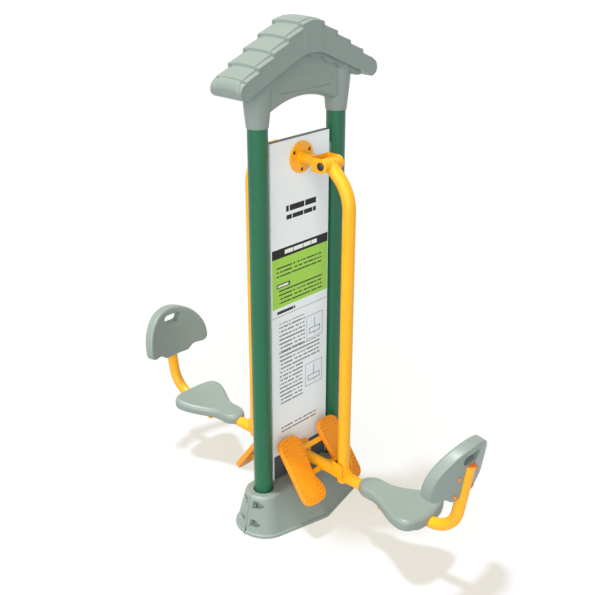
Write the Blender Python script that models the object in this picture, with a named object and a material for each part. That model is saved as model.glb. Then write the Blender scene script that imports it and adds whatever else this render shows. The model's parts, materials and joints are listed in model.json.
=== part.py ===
"""Double leg press machine for outdoor exercise.

Two green posts stand on steel plates under a moulded base cover and carry a
pale board and a moulded roof. On each side of the board a yellow arm hangs
from a forked hanger, and carries a seat and a backrest. The user sits, pushes
on the two fixed footrests, and the arm swings the seat away from the board.

Lengths are in metres. X runs from the near post to the far post, the front
seat lies towards -Y, Z is up, and the origin is on the ground, midway between
the posts.
"""
import math

import bmesh
import bpy
import numpy as np
from mathutils import Matrix, Vector

# Clearance between touching pieces, and the overrun of every cut
GAP = 0.0003
OVERRUN = 0.010
SMOOTH_ANGLE = math.radians(35)

# Posts
POST_SPACING = 0.500
POST_DIAMETER = 0.090
POST_WALL = 0.0035
POST_TOP = 2.200

# Base plates and their gussets
PLATE_SIDE = 0.160
PLATE_THICKNESS = 0.012
PLATE_CORNER_RADIUS = 0.014
ANCHOR_HOLE_DIAMETER = 0.014
ANCHOR_SPACING = 0.124
GUSSET_HEIGHT = 0.060
GUSSET_REACH = 0.030
GUSSET_THICKNESS = 0.006

# Base cover
COVER_HEIGHT = 0.204
COVER_FOOT_RADIUS = 0.131
COVER_TOP_RADIUS = 0.086
COVER_BELLY = 0.070
COVER_WALL = 0.005
COVER_EDGE_RADIUS = 0.010
COVER_LIP_HEIGHT = 0.012
COVER_LIP_REACH = 0.004
UPPER_POCKET_LEVEL = 0.152
LOWER_POCKET_LEVEL = 0.068
POCKET_SEAT = 0.026
POCKET_HEIGHT = 0.038
POCKET_LENGTH = 0.050
POCKET_DEPTH = 0.022
COVER_BOLT_DIAMETER = 0.008
POCKET_OUTLINE_SHARES = ((0.55, 0.9), (0.85, 0.5), (1.0, 0.0), (0.85, -0.5), (0.55, -0.9))

# Board between the posts
BOARD_POST_GAP = 0.0125
BOARD_BOTTOM = 0.222
BOARD_TOP_DROP = 0.250
BOARD_DEPTH = 0.030
BOARD_SHEET = 0.002
BOARD_EDGE_RADIUS = 0.007
BEAM_HEIGHT = 0.060
BEAM_WALL = 0.0025
BEAM_CLEARANCE = 0.00045

# Places of the two brackets
PIVOT_DROP = 0.343
PIVOT_REACH = 0.190
STOP_HEIGHT = 0.3095

# Bolted flanges
FLANGE_RADIUS = 0.0725
FLANGE_THICKNESS = 0.010
FLANGE_BOLT_CIRCLE = 0.056
FLANGE_BOLT_DIAMETER = 0.010
FLANGE_BOLT_HEAD_DIAMETER = 0.016
FLANGE_BOLT_HEAD_HEIGHT = 0.006
FLANGE_BOLT_COUNT = 3
STUB_RADIUS = 0.0270

# Fork of the hanger
FORK_INNER_WIDTH = 0.105
FORK_CHEEK = 0.006
FORK_DEPTH = 0.062
FORK_BACK_THICKNESS = 0.008
FORK_END_RADIUS = 0.032
PIVOT_DIAMETER = 0.014
PIVOT_HEAD_WIDTH = 0.021
PIVOT_HEAD_HEIGHT = 0.006
CAP_RADIUS = 0.0150
CAP_WALL = 0.0020
CAP_HEIGHT = 0.010
CAP_PROFILE_SHARES = ((1.0, 0.0), (1.0, 0.68), (0.82, 0.9), (0.45, 1.0))

# Bearings in the arm's barrel
BEARING_RADIUS = 0.0200
BEARING_WIDTH = 0.014
BEARING_RACE = 0.0035
BARREL_RADIUS = 0.030
BARREL_SIDE_CLEARANCE = 0.001

# Swing arm
ARM_RADIUS = 0.030
ARM_WALL = 0.003
ARM_REACH = 0.308
ARM_STRAIGHT_RUN = 0.0697
ARM_BEND_ANGLE = math.radians(48)
SEAT_TUBE_RADIUS = 0.0285
SEAT_TUBE_WALL = 0.003
SEAT_TUBE_HEIGHT = 0.299
SEAT_TUBE_BEND_RADIUS = 0.150
SEAT_TUBE_TOP = 0.697
BACK_LEAN = math.radians(8.6)
GUSSET_RADIUS = 0.045
ARM_GUSSET_THICKNESS = 0.012
DRAIN_DIAMETER = 0.008
DRAIN_REACH = 0.360

# Seat
SEAT_NOSE_REACH = 0.424
SEAT_BACK_REACH = 0.846
SEAT_NOSE_HALF_WIDTH = 0.060
SEAT_BACK_HALF_WIDTH = 0.153
SEAT_WIDENING_START = 0.520
SEAT_WIDENING_END = 0.775
SEAT_NOSE_ROUND = 0.070
SEAT_BACK_ROUND = 0.105
SEAT_STATIONS = 16
SEAT_UNDERSIDE = 0.290
SEAT_TOP = 0.342
SEAT_REAR_RISE = 0.016
SEAT_DISH = 0.008
SEAT_RISE_START_SHARE = 0.55
SEAT_DISH_END_SHARE = 0.70
SEAT_LEVEL_LINE_SHARE = 0.40
SEAT_EDGE_RADIUS = 0.020
SEAT_FOOT_RADIUS = 0.008
SEAT_TUBE_CLEARANCE = 0.0006
SEAT_TUBE_BEND_OVERLAP = 0.014
EAR_THICKNESS = 0.005
EAR_WIDTH = 0.030
SEAT_FIRST_EAR_REACH = 0.600
SEAT_EAR_PITCH = 0.140
SEAT_EAR_HALF_SPAN = 0.078
SEAT_BOLT_OFFSET = 0.062
SEAT_BOLT_DEPTH = 0.022

# Backrest
BACK_HALF_WIDTH = 0.200
BACK_ARC_STEPS = 12
BACK_ARC_LEVEL = 0.605
BACK_WING_LEVEL = 0.547
BACK_TONGUE_LEVEL = 0.517
BACK_TONGUE_HALF_WIDTH = 0.096
BACK_NOTCH_HALF_WIDTH = 0.028
BACK_CORNER_RADIUS = 0.034
BACK_THICKNESS = 0.060
BACK_TUBE_DEPTH = 0.007
BACK_FACE_LEVEL = 0.642
BACK_BOW = 0.040
BACK_EDGE_RADIUS = 0.012
SLOT_LEVEL = 0.731
SLOT_WIDTH = 0.112
SLOT_HEIGHT = 0.048
BACK_LOWER_BOLT_LEVEL = 0.543
BACK_UPPER_BOLT_LEVEL = 0.642
BACK_BOLT_OFFSET = 0.064
BACK_EAR_HALF_SPAN = 0.078
BACK_EAR_DEPTH = 0.009
BACK_BOLT_REACH_IN = 0.006

# Footrests and their frame
PEDAL_WIDTH = 0.122
PEDAL_LENGTH = 0.346
PEDAL_THICKNESS = 0.028
PEDAL_ROUNDNESS = 4.6
PEDAL_FACETS = 20
PEDAL_EDGE_RADIUS = 0.007
PEDAL_OFFSET = 0.130
PEDAL_TOP_REACH = 0.085
PEDAL_TOP_LEVEL = 0.487
PEDAL_LEAN = math.radians(28)
CROSS_BAR_WIDTH = 0.025
CROSS_BAR_THICKNESS = 0.008
CROSS_BAR_START = 0.094
CROSS_BAR_PITCH = 0.128
CROSS_BAR_HALF_LENGTH = 0.172
STRINGER_WIDTH = 0.024
STRINGER_THICKNESS = 0.005
STRINGER_START = 0.060
STRINGER_END = 0.290
PEDAL_BOLT_DEPTH = 0.018
COLLAR_RADIUS = 0.031
COLLAR_START = 0.190
CRADLE_SETBACK = 0.040
CRADLE_PLATE = 0.006
CRADLE_CHEEK_OVERHANG = 0.022
CRADLE_INNER_HALF_WIDTH = 0.034
CRADLE_TOP = 0.383
CRADLE_CHEEK_BOTTOM = 0.302
CRADLE_CORNER_RADIUS = 0.016
CRADLE_FOOT_SHARE = 0.9
BUMPER_HALF_WIDTH = 0.022
BUMPER_HEIGHT = 0.070
BUMPER_LEVEL = 0.336

# Common bolt for seat, backrest and footrests
BOLT_DIAMETER = 0.008
BOLT_HEAD_WIDTH = 0.0145
BOLT_HEAD_HEIGHT = 0.0055

# Roof
ROOF_HALF_DEPTH = 0.093
ROOF_RIDGE_RISE = 0.262
ROOF_CAP_HALF_WIDTH = 0.067
ROOF_CAP_DROP = 0.015
ROOF_COURSES = 4
ROOF_TAIL_REACH = 0.100
ROOF_COURSE_DROP = 0.0490
ROOF_STEP = 0.012
ROOF_STEP_NOSE = 0.004
ROOF_CAP_SHARES = (0.5, 0.3)
ROOF_NOSE_RISE_SHARE = 0.4
ROOF_NOSE_UNDERCUT_SHARE = 0.5
ROOF_SHOULDER_TURN = math.radians(76)
ROOF_EAVE_RADIUS = 0.040
ROOF_EAVE_REACH = 0.425
ROOF_EAVE_RISE = 0.012
ROOF_KNEE_INSET = 0.075
ROOF_KNEE_DROP = 0.010
ROOF_PEAK_HALF_WIDTH = 0.062
ROOF_PEAK_RISE = 0.118
ROOF_APEX_RISE = 0.122
ROOF_BULGE = 0.007
ROOF_EDGE_DROP = 0.008
ROOF_RIM_WIDTH = 0.024
ROOF_GROOVE_WIDTH = 0.005
ROOF_GROOVE_DEPTH = 0.005
SOFFIT_HALF_DEPTH = 0.060
SOFFIT_DROP = 0.010
SOFFIT_RISE = 0.030
SCALLOP_DEPTH = 0.016
SCALLOP_COUNT = 4
GABLE_HALF_DEPTH = 0.050
GABLE_FOOT_DROP = 0.125
GABLE_ARCH_RISE = 0.063
GABLE_FIELD_ARCH_SHARE = 0.32
GABLE_FIELD_HALF_WIDTH = 0.160
GABLE_FIELD_HEIGHT = 0.054
GABLE_FIELD_MARGIN = 0.0425
GABLE_FIELD_DEPTH = 0.003
SOCKET_DEPTH = 0.1705
SOCKET_BOTTOM_RADIUS = 0.049
SOCKET_RISE = 0.040
SOCKET_TOP_RADIUS = 0.0675
SOCKET_SCREW_RISE = 0.014
SCREW_DIAMETER = 0.006
SCREW_HEAD_DIAMETER = 0.011
SCREW_HEAD_HEIGHT = 0.003
SCREW_REACH_IN = 0.002

# Number of facets round each kind of piece, and of steps in a fillet or a bend
POST_FACETS = 20
FLANGE_FACETS = 16
TUBE_FACETS = 12
BEARING_FACETS = 12
BOLT_FACETS = 6
HEAD_FACETS = 10
HIDDEN_FACETS = 6
HEX_FACETS = 6
BEND_STEPS = 5
FILLET_STEPS = 2
NOTCH_STEPS = 4
ARCH_STEPS = 8
SCALLOP_STEPS = 3
END_STEPS = 6
HIDDEN_END_STEPS = 3

# Places worked out from the sizes above
POST_OFFSET = POST_SPACING / 2
POST_RADIUS = POST_DIAMETER / 2
BOARD_TOP = POST_TOP - BOARD_TOP_DROP
PIVOT_HEIGHT = POST_TOP - PIVOT_DROP
ROOF_RIDGE = POST_TOP + ROOF_RIDGE_RISE
ROOF_CAP_EDGE = ROOF_RIDGE - ROOF_CAP_DROP
ROOF_COURSE_RUN = ROOF_EAVE_REACH - ROOF_TAIL_REACH - ROOF_CAP_HALF_WIDTH
ROOF_COURSE_PITCH = ROOF_COURSE_RUN / (ROOF_COURSES - 1)
ROOF_KNEE_REACH = ROOF_EAVE_REACH - ROOF_KNEE_INSET
ROOF_EAVE_LEVEL = POST_TOP + ROOF_EAVE_RISE
ROOF_KNEE_LEVEL = POST_TOP - ROOF_KNEE_DROP
ROOF_PEAK_LEVEL = POST_TOP + ROOF_PEAK_RISE
ROOF_APEX = POST_TOP + ROOF_APEX_RISE
GABLE_CROWN = POST_TOP - GABLE_FOOT_DROP + GABLE_ARCH_RISE
SOCKET_BOTTOM = POST_TOP - SOCKET_DEPTH
SOCKET_TOP = POST_TOP + SOCKET_RISE
SOCKET_SCREW_LEVEL = SOCKET_BOTTOM + SOCKET_SCREW_RISE
BOARD_HALF_DEPTH = BOARD_DEPTH / 2
BOARD_HALF_WIDTH = POST_OFFSET - POST_RADIUS - BOARD_POST_GAP
BEAM_DEPTH = BOARD_DEPTH - 2 * (BOARD_SHEET + GAP)
FLANGE_BACK = BOARD_HALF_DEPTH + GAP
FLANGE_FACE = FLANGE_BACK + FLANGE_THICKNESS
CHEEK_FACE = FORK_INNER_WIDTH / 2 + FORK_CHEEK
FORK_BACK_REACH = PIVOT_REACH - FORK_DEPTH
ARM_BEND_OUTSET = ARM_REACH - PIVOT_REACH - ARM_STRAIGHT_RUN * math.sin(ARM_BEND_ANGLE)
ARM_BEND_RADIUS = ARM_BEND_OUTSET / (1 - math.cos(ARM_BEND_ANGLE))
CRADLE_REACH = ARM_REACH - CRADLE_SETBACK
CRADLE_CHEEK_REACH = ARM_REACH + CRADLE_CHEEK_OVERHANG
POCKET_LEVELS = (UPPER_POCKET_LEVEL, LOWER_POCKET_LEVEL)
BACK_BOLT_LEVELS = (BACK_LOWER_BOLT_LEVEL, BACK_UPPER_BOLT_LEVEL)
SEAT_EAR_REACHES = (SEAT_FIRST_EAR_REACH, SEAT_FIRST_EAR_REACH + SEAT_EAR_PITCH)
CROSS_BAR_PLACES = (CROSS_BAR_START, CROSS_BAR_START + CROSS_BAR_PITCH)
SEAT_TUBE_BEND_START = SEAT_BACK_REACH - SEAT_TUBE_BEND_OVERLAP
SEAT_TUBE_BEND_END = SEAT_TUBE_BEND_START + SEAT_TUBE_BEND_RADIUS * math.cos(BACK_LEAN)
SEAT_TUBE_BEND_TOP = SEAT_TUBE_HEIGHT + SEAT_TUBE_BEND_RADIUS * (1 - math.sin(BACK_LEAN))
BACK_FACE_REACH = (SEAT_TUBE_BEND_END + (BACK_FACE_LEVEL - SEAT_TUBE_BEND_TOP) * math.tan(BACK_LEAN)
                   + BACK_TUBE_DEPTH)
SIDES = (("front", 0.0), ("rear", math.pi))


def colour(hex_text):
    """Turn an sRGB hex colour into linear red, green and blue."""
    parts = [int(hex_text[i:i + 2], 16) / 255 for i in (0, 2, 4)]
    return [p / 12.92 if p <= 0.04045 else ((p + 0.055) / 1.055) ** 2.4 for p in parts]


def material(name, hex_text, roughness, metallic=0.0):
    mat = bpy.data.materials.new(name)
    mat.use_nodes = True
    shader = mat.node_tree.nodes["Principled BSDF"]
    shader.inputs["Base Color"].default_value = (*colour(hex_text), 1.0)
    shader.inputs["Roughness"].default_value = roughness
    shader.inputs["Metallic"].default_value = metallic
    return mat


def clear_scene():
    for obj in list(bpy.data.objects):
        bpy.data.objects.remove(obj, do_unlink=True)


def mesh_of(verts, faces):
    mesh = bpy.data.meshes.new("shape")
    mesh.from_pydata([tuple(map(float, v)) for v in verts], [], [tuple(map(int, f)) for f in faces])
    mesh.update()
    return mesh


def moved(mesh, matrix):
    mesh.transform(matrix)
    if matrix.determinant() < 0:
        mesh.flip_normals()
    mesh.update()
    return mesh


def shifted(mesh, x=0.0, y=0.0, z=0.0):
    return moved(mesh, Matrix.Translation((x, y, z)))


def evaluated(mesh, set_up):
    """Run one modifier on a mesh and return the result as a new mesh."""
    obj = bpy.data.objects.new("work", mesh)
    bpy.context.scene.collection.objects.link(obj)
    helper = set_up(obj)
    depsgraph = bpy.context.evaluated_depsgraph_get()
    result = bpy.data.meshes.new_from_object(obj.evaluated_get(depsgraph))
    bpy.data.objects.remove(obj, do_unlink=True)
    if helper:
        bpy.data.objects.remove(helper, do_unlink=True)
    return result


def triangulated(mesh):
    """Split faces that aren't flat, so that a cut meets them where they really lie."""
    work = bmesh.new()
    work.from_mesh(mesh)
    bmesh.ops.triangulate(work, faces=work.faces[:])
    work.to_mesh(mesh)
    work.free()
    return mesh


def combined(mesh, other, operation):
    def set_up(obj):
        helper = bpy.data.objects.new("cutter", other)
        helper.hide_render = True
        helper.display_type = "WIRE"
        bpy.context.scene.collection.objects.link(helper)
        mod = obj.modifiers.new("boolean", "BOOLEAN")
        mod.object = helper
        mod.operation = operation
        mod.solver = "EXACT"
        return helper
    return evaluated(mesh, set_up)


def fused(meshes):
    result = meshes[0]
    for mesh in meshes[1:]:
        result = combined(result, mesh, "UNION")
    return result


def cut(mesh, cutters):
    for cutter in cutters:
        mesh = combined(mesh, cutter, "DIFFERENCE")
    return mesh


def rounded(mesh, width, segments=2, angle=math.radians(40)):
    def set_up(obj):
        mod = obj.modifiers.new("bevel", "BEVEL")
        mod.width = width
        mod.segments = segments
        mod.limit_method = "ANGLE"
        mod.angle_limit = angle
        mod.use_clamp_overlap = True
        return None
    return evaluated(mesh, set_up)


def place(name, mesh, mat, parent=None, origin=(0.0, 0.0, 0.0)):
    """Make the named object, with its origin moved onto the given point."""
    shape = mesh.copy()
    shape.name = name
    shape.transform(Matrix.Translation(-Vector(origin)))
    shape.materials.clear()
    shape.materials.append(mat)
    shape.shade_smooth()
    shape.set_sharp_from_angle(angle=SMOOTH_ANGLE)
    obj = bpy.data.objects.new(name, shape)
    bpy.context.scene.collection.objects.link(obj)
    if parent:
        obj.parent = parent
    obj.location = Vector(origin) - (Vector(parent["anchor"]) if parent else Vector())
    return obj


def anchor(name, at, turn, parent=None):
    """An empty on an axis; its own place is stored for the pieces it carries."""
    empty = bpy.data.objects.new(name, None)
    bpy.context.scene.collection.objects.link(empty)
    empty["anchor"] = tuple(at)
    empty.parent = parent
    empty.location = at
    empty.rotation_euler = (0.0, 0.0, turn)
    return empty


def skin(rings, closed_ends=True, looped=False):
    """Quads between equal rings of points; ends closed by one flat face each."""
    count = len(rings[0])
    verts = [p for ring in rings for p in ring]
    faces = []
    last = len(rings) if looped else len(rings) - 1
    for r in range(last):
        a, b = r * count, ((r + 1) % len(rings)) * count
        faces += [(a + i, a + (i + 1) % count, b + (i + 1) % count, b + i) for i in range(count)]
    if closed_ends and not looped:
        faces.append(tuple(range(count - 1, -1, -1)))
        faces.append(tuple(range(len(verts) - count, len(verts))))
    return mesh_of(verts, faces)


def circle(radius, facets, phase_share=0.0):
    turn = (np.arange(facets) + phase_share) * 2 * math.pi / facets
    return np.stack([radius * np.cos(turn), radius * np.sin(turn)], axis=1)


def rod(radius, start, end, facets=TUBE_FACETS, end_radius=None):
    """A round bar or a cone along Z, from one level to another."""
    far = radius if end_radius is None else end_radius
    low = [(x, y, start) for x, y in circle(radius, facets)]
    high = [(x, y, end) for x, y in circle(far, facets)]
    return skin([low, high])


def pipe(radius, inner, start, end, facets=TUBE_FACETS):
    """A tube along Z with open ends, as one looped section."""
    levels = ((radius, start), (radius, end), (inner, end), (inner, start))
    rings = [[(x, y, z) for x, y in circle(r, facets)] for r, z in levels]
    return skin(rings, looped=True)


def turned(profile, facets):
    """A solid of revolution about Z; each profile row is radius and level."""
    rings = [[(x, y, z) for x, y in circle(r, facets)] for r, z in profile]
    return skin(rings)


def block(x, y, z):
    """A box from three pairs of limits."""
    low = [(x[0], y[0], z[0]), (x[1], y[0], z[0]), (x[1], y[1], z[0]), (x[0], y[1], z[0])]
    return skin([low, [(a, b, z[1]) for a, b, _ in low]])


def prism(outline, start, end):
    """An outline in X and Y carried along Z."""
    return skin([[(x, y, start) for x, y in outline], [(x, y, end) for x, y in outline]])


ALONG_X = Matrix.Rotation(math.pi / 2, 4, "Y")
ALONG_Y = Matrix.Rotation(-math.pi / 2, 4, "X")


def side_plate(outline, start, end):
    """An outline in Y and Z carried along X."""
    return skin([[(start, y, z) for y, z in outline], [(end, y, z) for y, z in outline]])


def front_plate(outline, start, end):
    """An outline in X and Z carried along Y, its points running anticlockwise."""
    return skin([[(x, end, z) for x, z in outline], [(x, start, z) for x, z in outline]])


def arc(centre, radius, start, end, steps):
    turn = np.linspace(start, end, steps + 1)
    return [(centre[0] + radius * math.cos(t), centre[1] + radius * math.sin(t)) for t in turn]


def rounded_box(half_x, half_y, radius, steps=FILLET_STEPS, centre=(0.0, 0.0)):
    """A rectangle with round corners, anticlockwise."""
    points = []
    for k, (sx, sy) in enumerate(((1, 1), (-1, 1), (-1, -1), (1, -1))):
        middle = (centre[0] + sx * (half_x - radius), centre[1] + sy * (half_y - radius))
        points += arc(middle, radius, k * math.pi / 2, (k + 1) * math.pi / 2, steps)
    return points


def sweep(path, radius, facets=TUBE_FACETS):
    """A round bar along a path in the plane X = 0, mitred at every point."""
    path = np.array(path)
    steps = np.diff(path, axis=0)
    steps /= np.linalg.norm(steps, axis=1)[:, None]
    ahead = np.vstack([steps, steps[-1:]])
    behind = np.vstack([steps[:1], steps])
    mean = ahead + behind
    mean /= np.linalg.norm(mean, axis=1)[:, None]
    stretch = 1 / np.sum(mean * ahead, axis=1)
    across = np.stack([-mean[:, 1], mean[:, 0]], axis=1) * stretch[:, None]
    ring = circle(radius, facets)
    rings = []
    for point, side in zip(path, across):
        rings.append([(x, point[0] - y * side[0], point[1] - y * side[1]) for x, y in ring])
    return skin(rings)


def hex_bolt(diameter, head_width, head_height, length):
    """Head below the plane Z = 0, shank rising above it."""
    head = rod(head_width / math.sqrt(3), -head_height, 0.0, HEX_FACETS)
    shank = rod(diameter / 2, -head_height / 2, length, BOLT_FACETS)
    return fused([head, shank])


def round_bolt(diameter, head_diameter, head_height, length):
    """Round head below the plane Z = 0, shank rising above it."""
    head = rod(head_diameter / 2, -head_height, 0.0, HEAD_FACETS)
    shank = rod(diameter / 2, -head_height / 2, length, BOLT_FACETS)
    return fused([head, shank])


def socket_screw(diameter, head_diameter, head_height, length):
    """Round-headed bolt with a six-sided socket in its head."""
    key = rod(diameter / 3, -head_height - OVERRUN, -head_height / 2, HEX_FACETS)
    return cut(round_bolt(diameter, head_diameter, head_height, length), [key])


def pad(outline, centre, under, over, foot_radius, edge_radius, inner_shares=(0.6,)):
    """A moulded slab over a star-shaped outline.

    Rings shrink towards the centre by a distance that follows a quarter circle
    at the upper edge and a chamfer at the foot; under and over give the levels
    of the two faces.
    """
    outline, centre = np.array(outline), np.array(centre)
    arm = outline - centre
    reach = np.linalg.norm(arm, axis=1)[:, None]
    rings = []

    def ring(share, level_of, offset):
        flat = centre + arm * share
        rings.append(np.column_stack([flat, level_of(flat) + offset]).tolist())

    quarter = np.linspace(0, math.pi / 2, FILLET_STEPS + 1)
    for share in inner_shares[::-1]:
        ring(share, under, 0.0)
    for t in quarter[[0, -1]]:
        ring(1 - foot_radius * (1 - math.sin(t)) / reach, under, foot_radius * (1 - math.cos(t)))
    for t in quarter:
        ring(1 - edge_radius * (1 - math.cos(t)) / reach, over, edge_radius * (math.sin(t) - 1))
    for share in inner_shares:
        ring(share, over, 0.0)
    low, high = (float(level_of(centre[None, :])[0]) for level_of in (under, over))
    return capped(rings, (*centre, low), (*centre, high))


def capped(rings, low, high):
    """A skin whose two ends close on one point each."""
    mesh = skin(rings, closed_ends=False)
    count, top = len(rings[0]), (len(rings) - 1) * len(rings[0])
    verts = [tuple(v.co) for v in mesh.vertices] + [low, high]
    faces = [tuple(p.vertices) for p in mesh.polygons]
    for i in range(count):
        after = (i + 1) % count
        faces += [(len(verts) - 2, after, i), (len(verts) - 1, top + i, top + after)]
    return mesh_of(verts, faces)


def flange(level):
    """A round flange on the board's face, facing -Y."""
    plate = moved(rod(FLANGE_RADIUS, 0.0, FLANGE_THICKNESS, FLANGE_FACETS), ALONG_Y)
    return shifted(plate, y=-FLANGE_FACE, z=level)


def flange_drills(level, radius, depth):
    """Cuts from the flange's face inwards at each of its bolts."""
    drill = moved(rod(radius, -OVERRUN, depth, HEAD_FACETS), ALONG_Y)
    return [shifted(drill.copy(), x, -FLANGE_FACE, z) for x, z in flange_bolt_places(level)]


def flange_bolt_places(level):
    turns = [math.pi / 6 + k * 2 * math.pi / FLANGE_BOLT_COUNT for k in range(FLANGE_BOLT_COUNT)]
    return [(FLANGE_BOLT_CIRCLE * math.cos(t), level + FLANGE_BOLT_CIRCLE * math.sin(t)) for t in turns]


def flange_bolts(level, kind):
    """Bolts of a kind that stop in the beam behind the board's sheet."""
    length = FLANGE_THICKNESS - FLANGE_BOLT_HEAD_HEIGHT + BOARD_SHEET + BEAM_WALL
    screw = kind(FLANGE_BOLT_DIAMETER, FLANGE_BOLT_HEAD_DIAMETER, FLANGE_BOLT_HEAD_HEIGHT, length)
    moved(screw, ALONG_Y)
    head_plane = -FLANGE_FACE + FLANGE_BOLT_HEAD_HEIGHT
    return [shifted(screw.copy(), x, head_plane, z) for x, z in flange_bolt_places(level)]


def through_drills(level, radius):
    """Holes across the whole board, shared by the flanges on its two sides."""
    drill = moved(rod(radius, -BOARD_DEPTH, BOARD_DEPTH, BOLT_FACETS), ALONG_Y)
    return [shifted(drill.copy(), x, 0.0, z) for x, z in flange_bolt_places(level)]


def make_posts(paint):
    for name, x in (("near_post", -POST_OFFSET), ("far_post", POST_OFFSET)):
        tube = pipe(POST_RADIUS, POST_RADIUS - POST_WALL, PLATE_THICKNESS + GAP, POST_TOP, POST_FACETS)
        drill = rod(SCREW_DIAMETER / 2 + GAP, -POST_DIAMETER, POST_DIAMETER, BOLT_FACETS)
        tube = cut(tube, [shifted(moved(drill, ALONG_Y), z=SOCKET_SCREW_LEVEL)])
        place(name, shifted(tube, x=x), paint, origin=(x, 0.0, 0.0))


def make_base_plates(steel):
    """Square plates with anchor holes and four gussets round each post."""
    half = PLATE_SIDE / 2
    plate = prism(rounded_box(half, half, PLATE_CORNER_RADIUS, 1), 0.0, PLATE_THICKNESS)
    ribs = []
    inner = POST_RADIUS + GAP
    outer = inner + GUSSET_REACH
    sunk, top = PLATE_THICKNESS - GUSSET_THICKNESS, PLATE_THICKNESS + GUSSET_HEIGHT
    outline = [(inner, sunk), (outer, sunk), (outer, PLATE_THICKNESS + GUSSET_THICKNESS),
               (inner + GUSSET_THICKNESS, top), (inner, top)]
    for k in range(4):
        rib = side_plate(outline, -GUSSET_THICKNESS / 2, GUSSET_THICKNESS / 2)
        ribs.append(moved(rib, Matrix.Rotation(k * math.pi / 2, 4, "Z")))
    shape = fused([plate] + ribs)
    reach = ANCHOR_SPACING / 2
    drill = rod(ANCHOR_HOLE_DIAMETER / 2, -OVERRUN, PLATE_THICKNESS + OVERRUN, HEX_FACETS)
    shape = cut(shape, [shifted(drill.copy(), sx * reach, sy * reach) for sx in (-1, 1) for sy in (-1, 1)])
    for name, x in (("near_base_plate", -POST_OFFSET), ("far_base_plate", POST_OFFSET)):
        place(name, shifted(shape.copy(), x=x), steel, origin=(x, 0.0, 0.0))


def cover_ring(radius, belly, level, half_turns, limit=None):
    """Half outline, from the +X tip through -Y to the -X tip.

    Each end is half a circle about its post, and the side between them bows
    out by a raised cosine of the given belly.
    """
    points = []
    ends = np.linspace(0, -math.pi / 2, half_turns + 1)
    sides = np.linspace(1, -1, half_turns + 3)[1:-1]
    for t in ends:
        points.append((POST_OFFSET + radius * math.cos(t), radius * math.sin(t)))
    for s in sides:
        points.append((s * POST_OFFSET, -radius - belly * (0.5 + 0.5 * math.cos(math.pi * s))))
    for t in ends[::-1]:
        points.append((-POST_OFFSET - radius * math.cos(t), radius * math.sin(t)))
    if limit:
        points = [(max(-limit, min(limit, x)), y) for x, y in points]
    return [(x, y, level) for x, y in points]


def cover_radius(level):
    share = (COVER_HEIGHT - level) / COVER_HEIGHT
    return COVER_TOP_RADIUS + (COVER_FOOT_RADIUS - COVER_TOP_RADIUS) * share


def cover_belly(level):
    share = (COVER_HEIGHT - level) / COVER_HEIGHT
    return COVER_BELLY * share


def pocket_floor(level):
    return POST_OFFSET + math.sqrt(cover_radius(level) ** 2 - POCKET_SEAT ** 2) - POCKET_DEPTH


def make_base_cover(plastic):
    """Two half shells that meet over the middle, open below."""
    outer = []
    for t in np.linspace(math.pi / 2, 0, FILLET_STEPS + 1):
        level = COVER_HEIGHT - COVER_EDGE_RADIUS * (1 - math.sin(t))
        inset = COVER_EDGE_RADIUS * (1 - math.cos(t))
        outer.append(cover_ring(cover_radius(level) - inset, cover_belly(level), level, END_STEPS))
    level = COVER_HEIGHT / 2
    outer.append(cover_ring(cover_radius(level), cover_belly(level), level, END_STEPS))
    foot = cover_radius(0.0)
    outer.append(cover_ring(foot, COVER_BELLY, COVER_LIP_HEIGHT, END_STEPS))
    for level in (COVER_LIP_HEIGHT - COVER_LIP_REACH, 0.0):
        outer.append(cover_ring(foot + COVER_LIP_REACH, COVER_BELLY, level, END_STEPS))
    solid = triangulated(skin(outer))
    inner = []
    upper, lower = POCKET_LEVELS
    half = POCKET_HEIGHT / 2
    narrow, wide = pocket_floor(upper) - COVER_WALL, pocket_floor(lower) - COVER_WALL
    levels = ((COVER_HEIGHT - COVER_WALL, narrow), (upper + half + COVER_WALL, narrow),
              (lower + half + COVER_WALL, narrow), (lower + half, wide),
              (lower - half - COVER_WALL, wide), (lower - half - 2 * COVER_WALL, None), (-OVERRUN, None))
    for level, limit in levels:
        radius = cover_radius(level) - COVER_WALL
        inner.append(cover_ring(radius, cover_belly(level), level, HIDDEN_END_STEPS, limit))
    room = triangulated(shifted(skin(inner), y=COVER_WALL))
    solid = cut(solid, [room])
    drills = []
    for sx in (-1, 1):
        post = rod(POST_RADIUS + GAP, -OVERRUN, COVER_HEIGHT + OVERRUN, POST_FACETS)
        drills.append(shifted(post, x=sx * POST_OFFSET))
        for level in POCKET_LEVELS:
            floor = pocket_floor(level)
            tip = POST_OFFSET + COVER_FOOT_RADIUS + OVERRUN
            outline = [(-POCKET_SEAT, level - half), (-POCKET_SEAT, level + half)]
            outline += [(-POCKET_SEAT - POCKET_LENGTH * s, level + half * h)
                        for s, h in POCKET_OUTLINE_SHARES]
            span = (floor, tip) if sx > 0 else (-tip, -floor)
            drills.append(side_plate(outline, *span))
            hole = rod(COVER_BOLT_DIAMETER / 2 + GAP, -POCKET_SEAT - OVERRUN, OVERRUN, BOLT_FACETS)
            drills.append(shifted(moved(hole, ALONG_Y), x=sx * cover_bolt_place(level), z=level))
    solid = cut(solid, drills)
    half_gap = GAP / 2
    front = shifted(solid.copy(), y=-half_gap)
    rear = moved(solid.copy(), Matrix.Rotation(math.pi, 4, "Z"))
    place("front_base_cover", front, plastic)
    place("rear_base_cover", shifted(rear, y=half_gap), plastic)


def cover_bolt_place(level):
    return pocket_floor(level) + POCKET_DEPTH / 2


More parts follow.
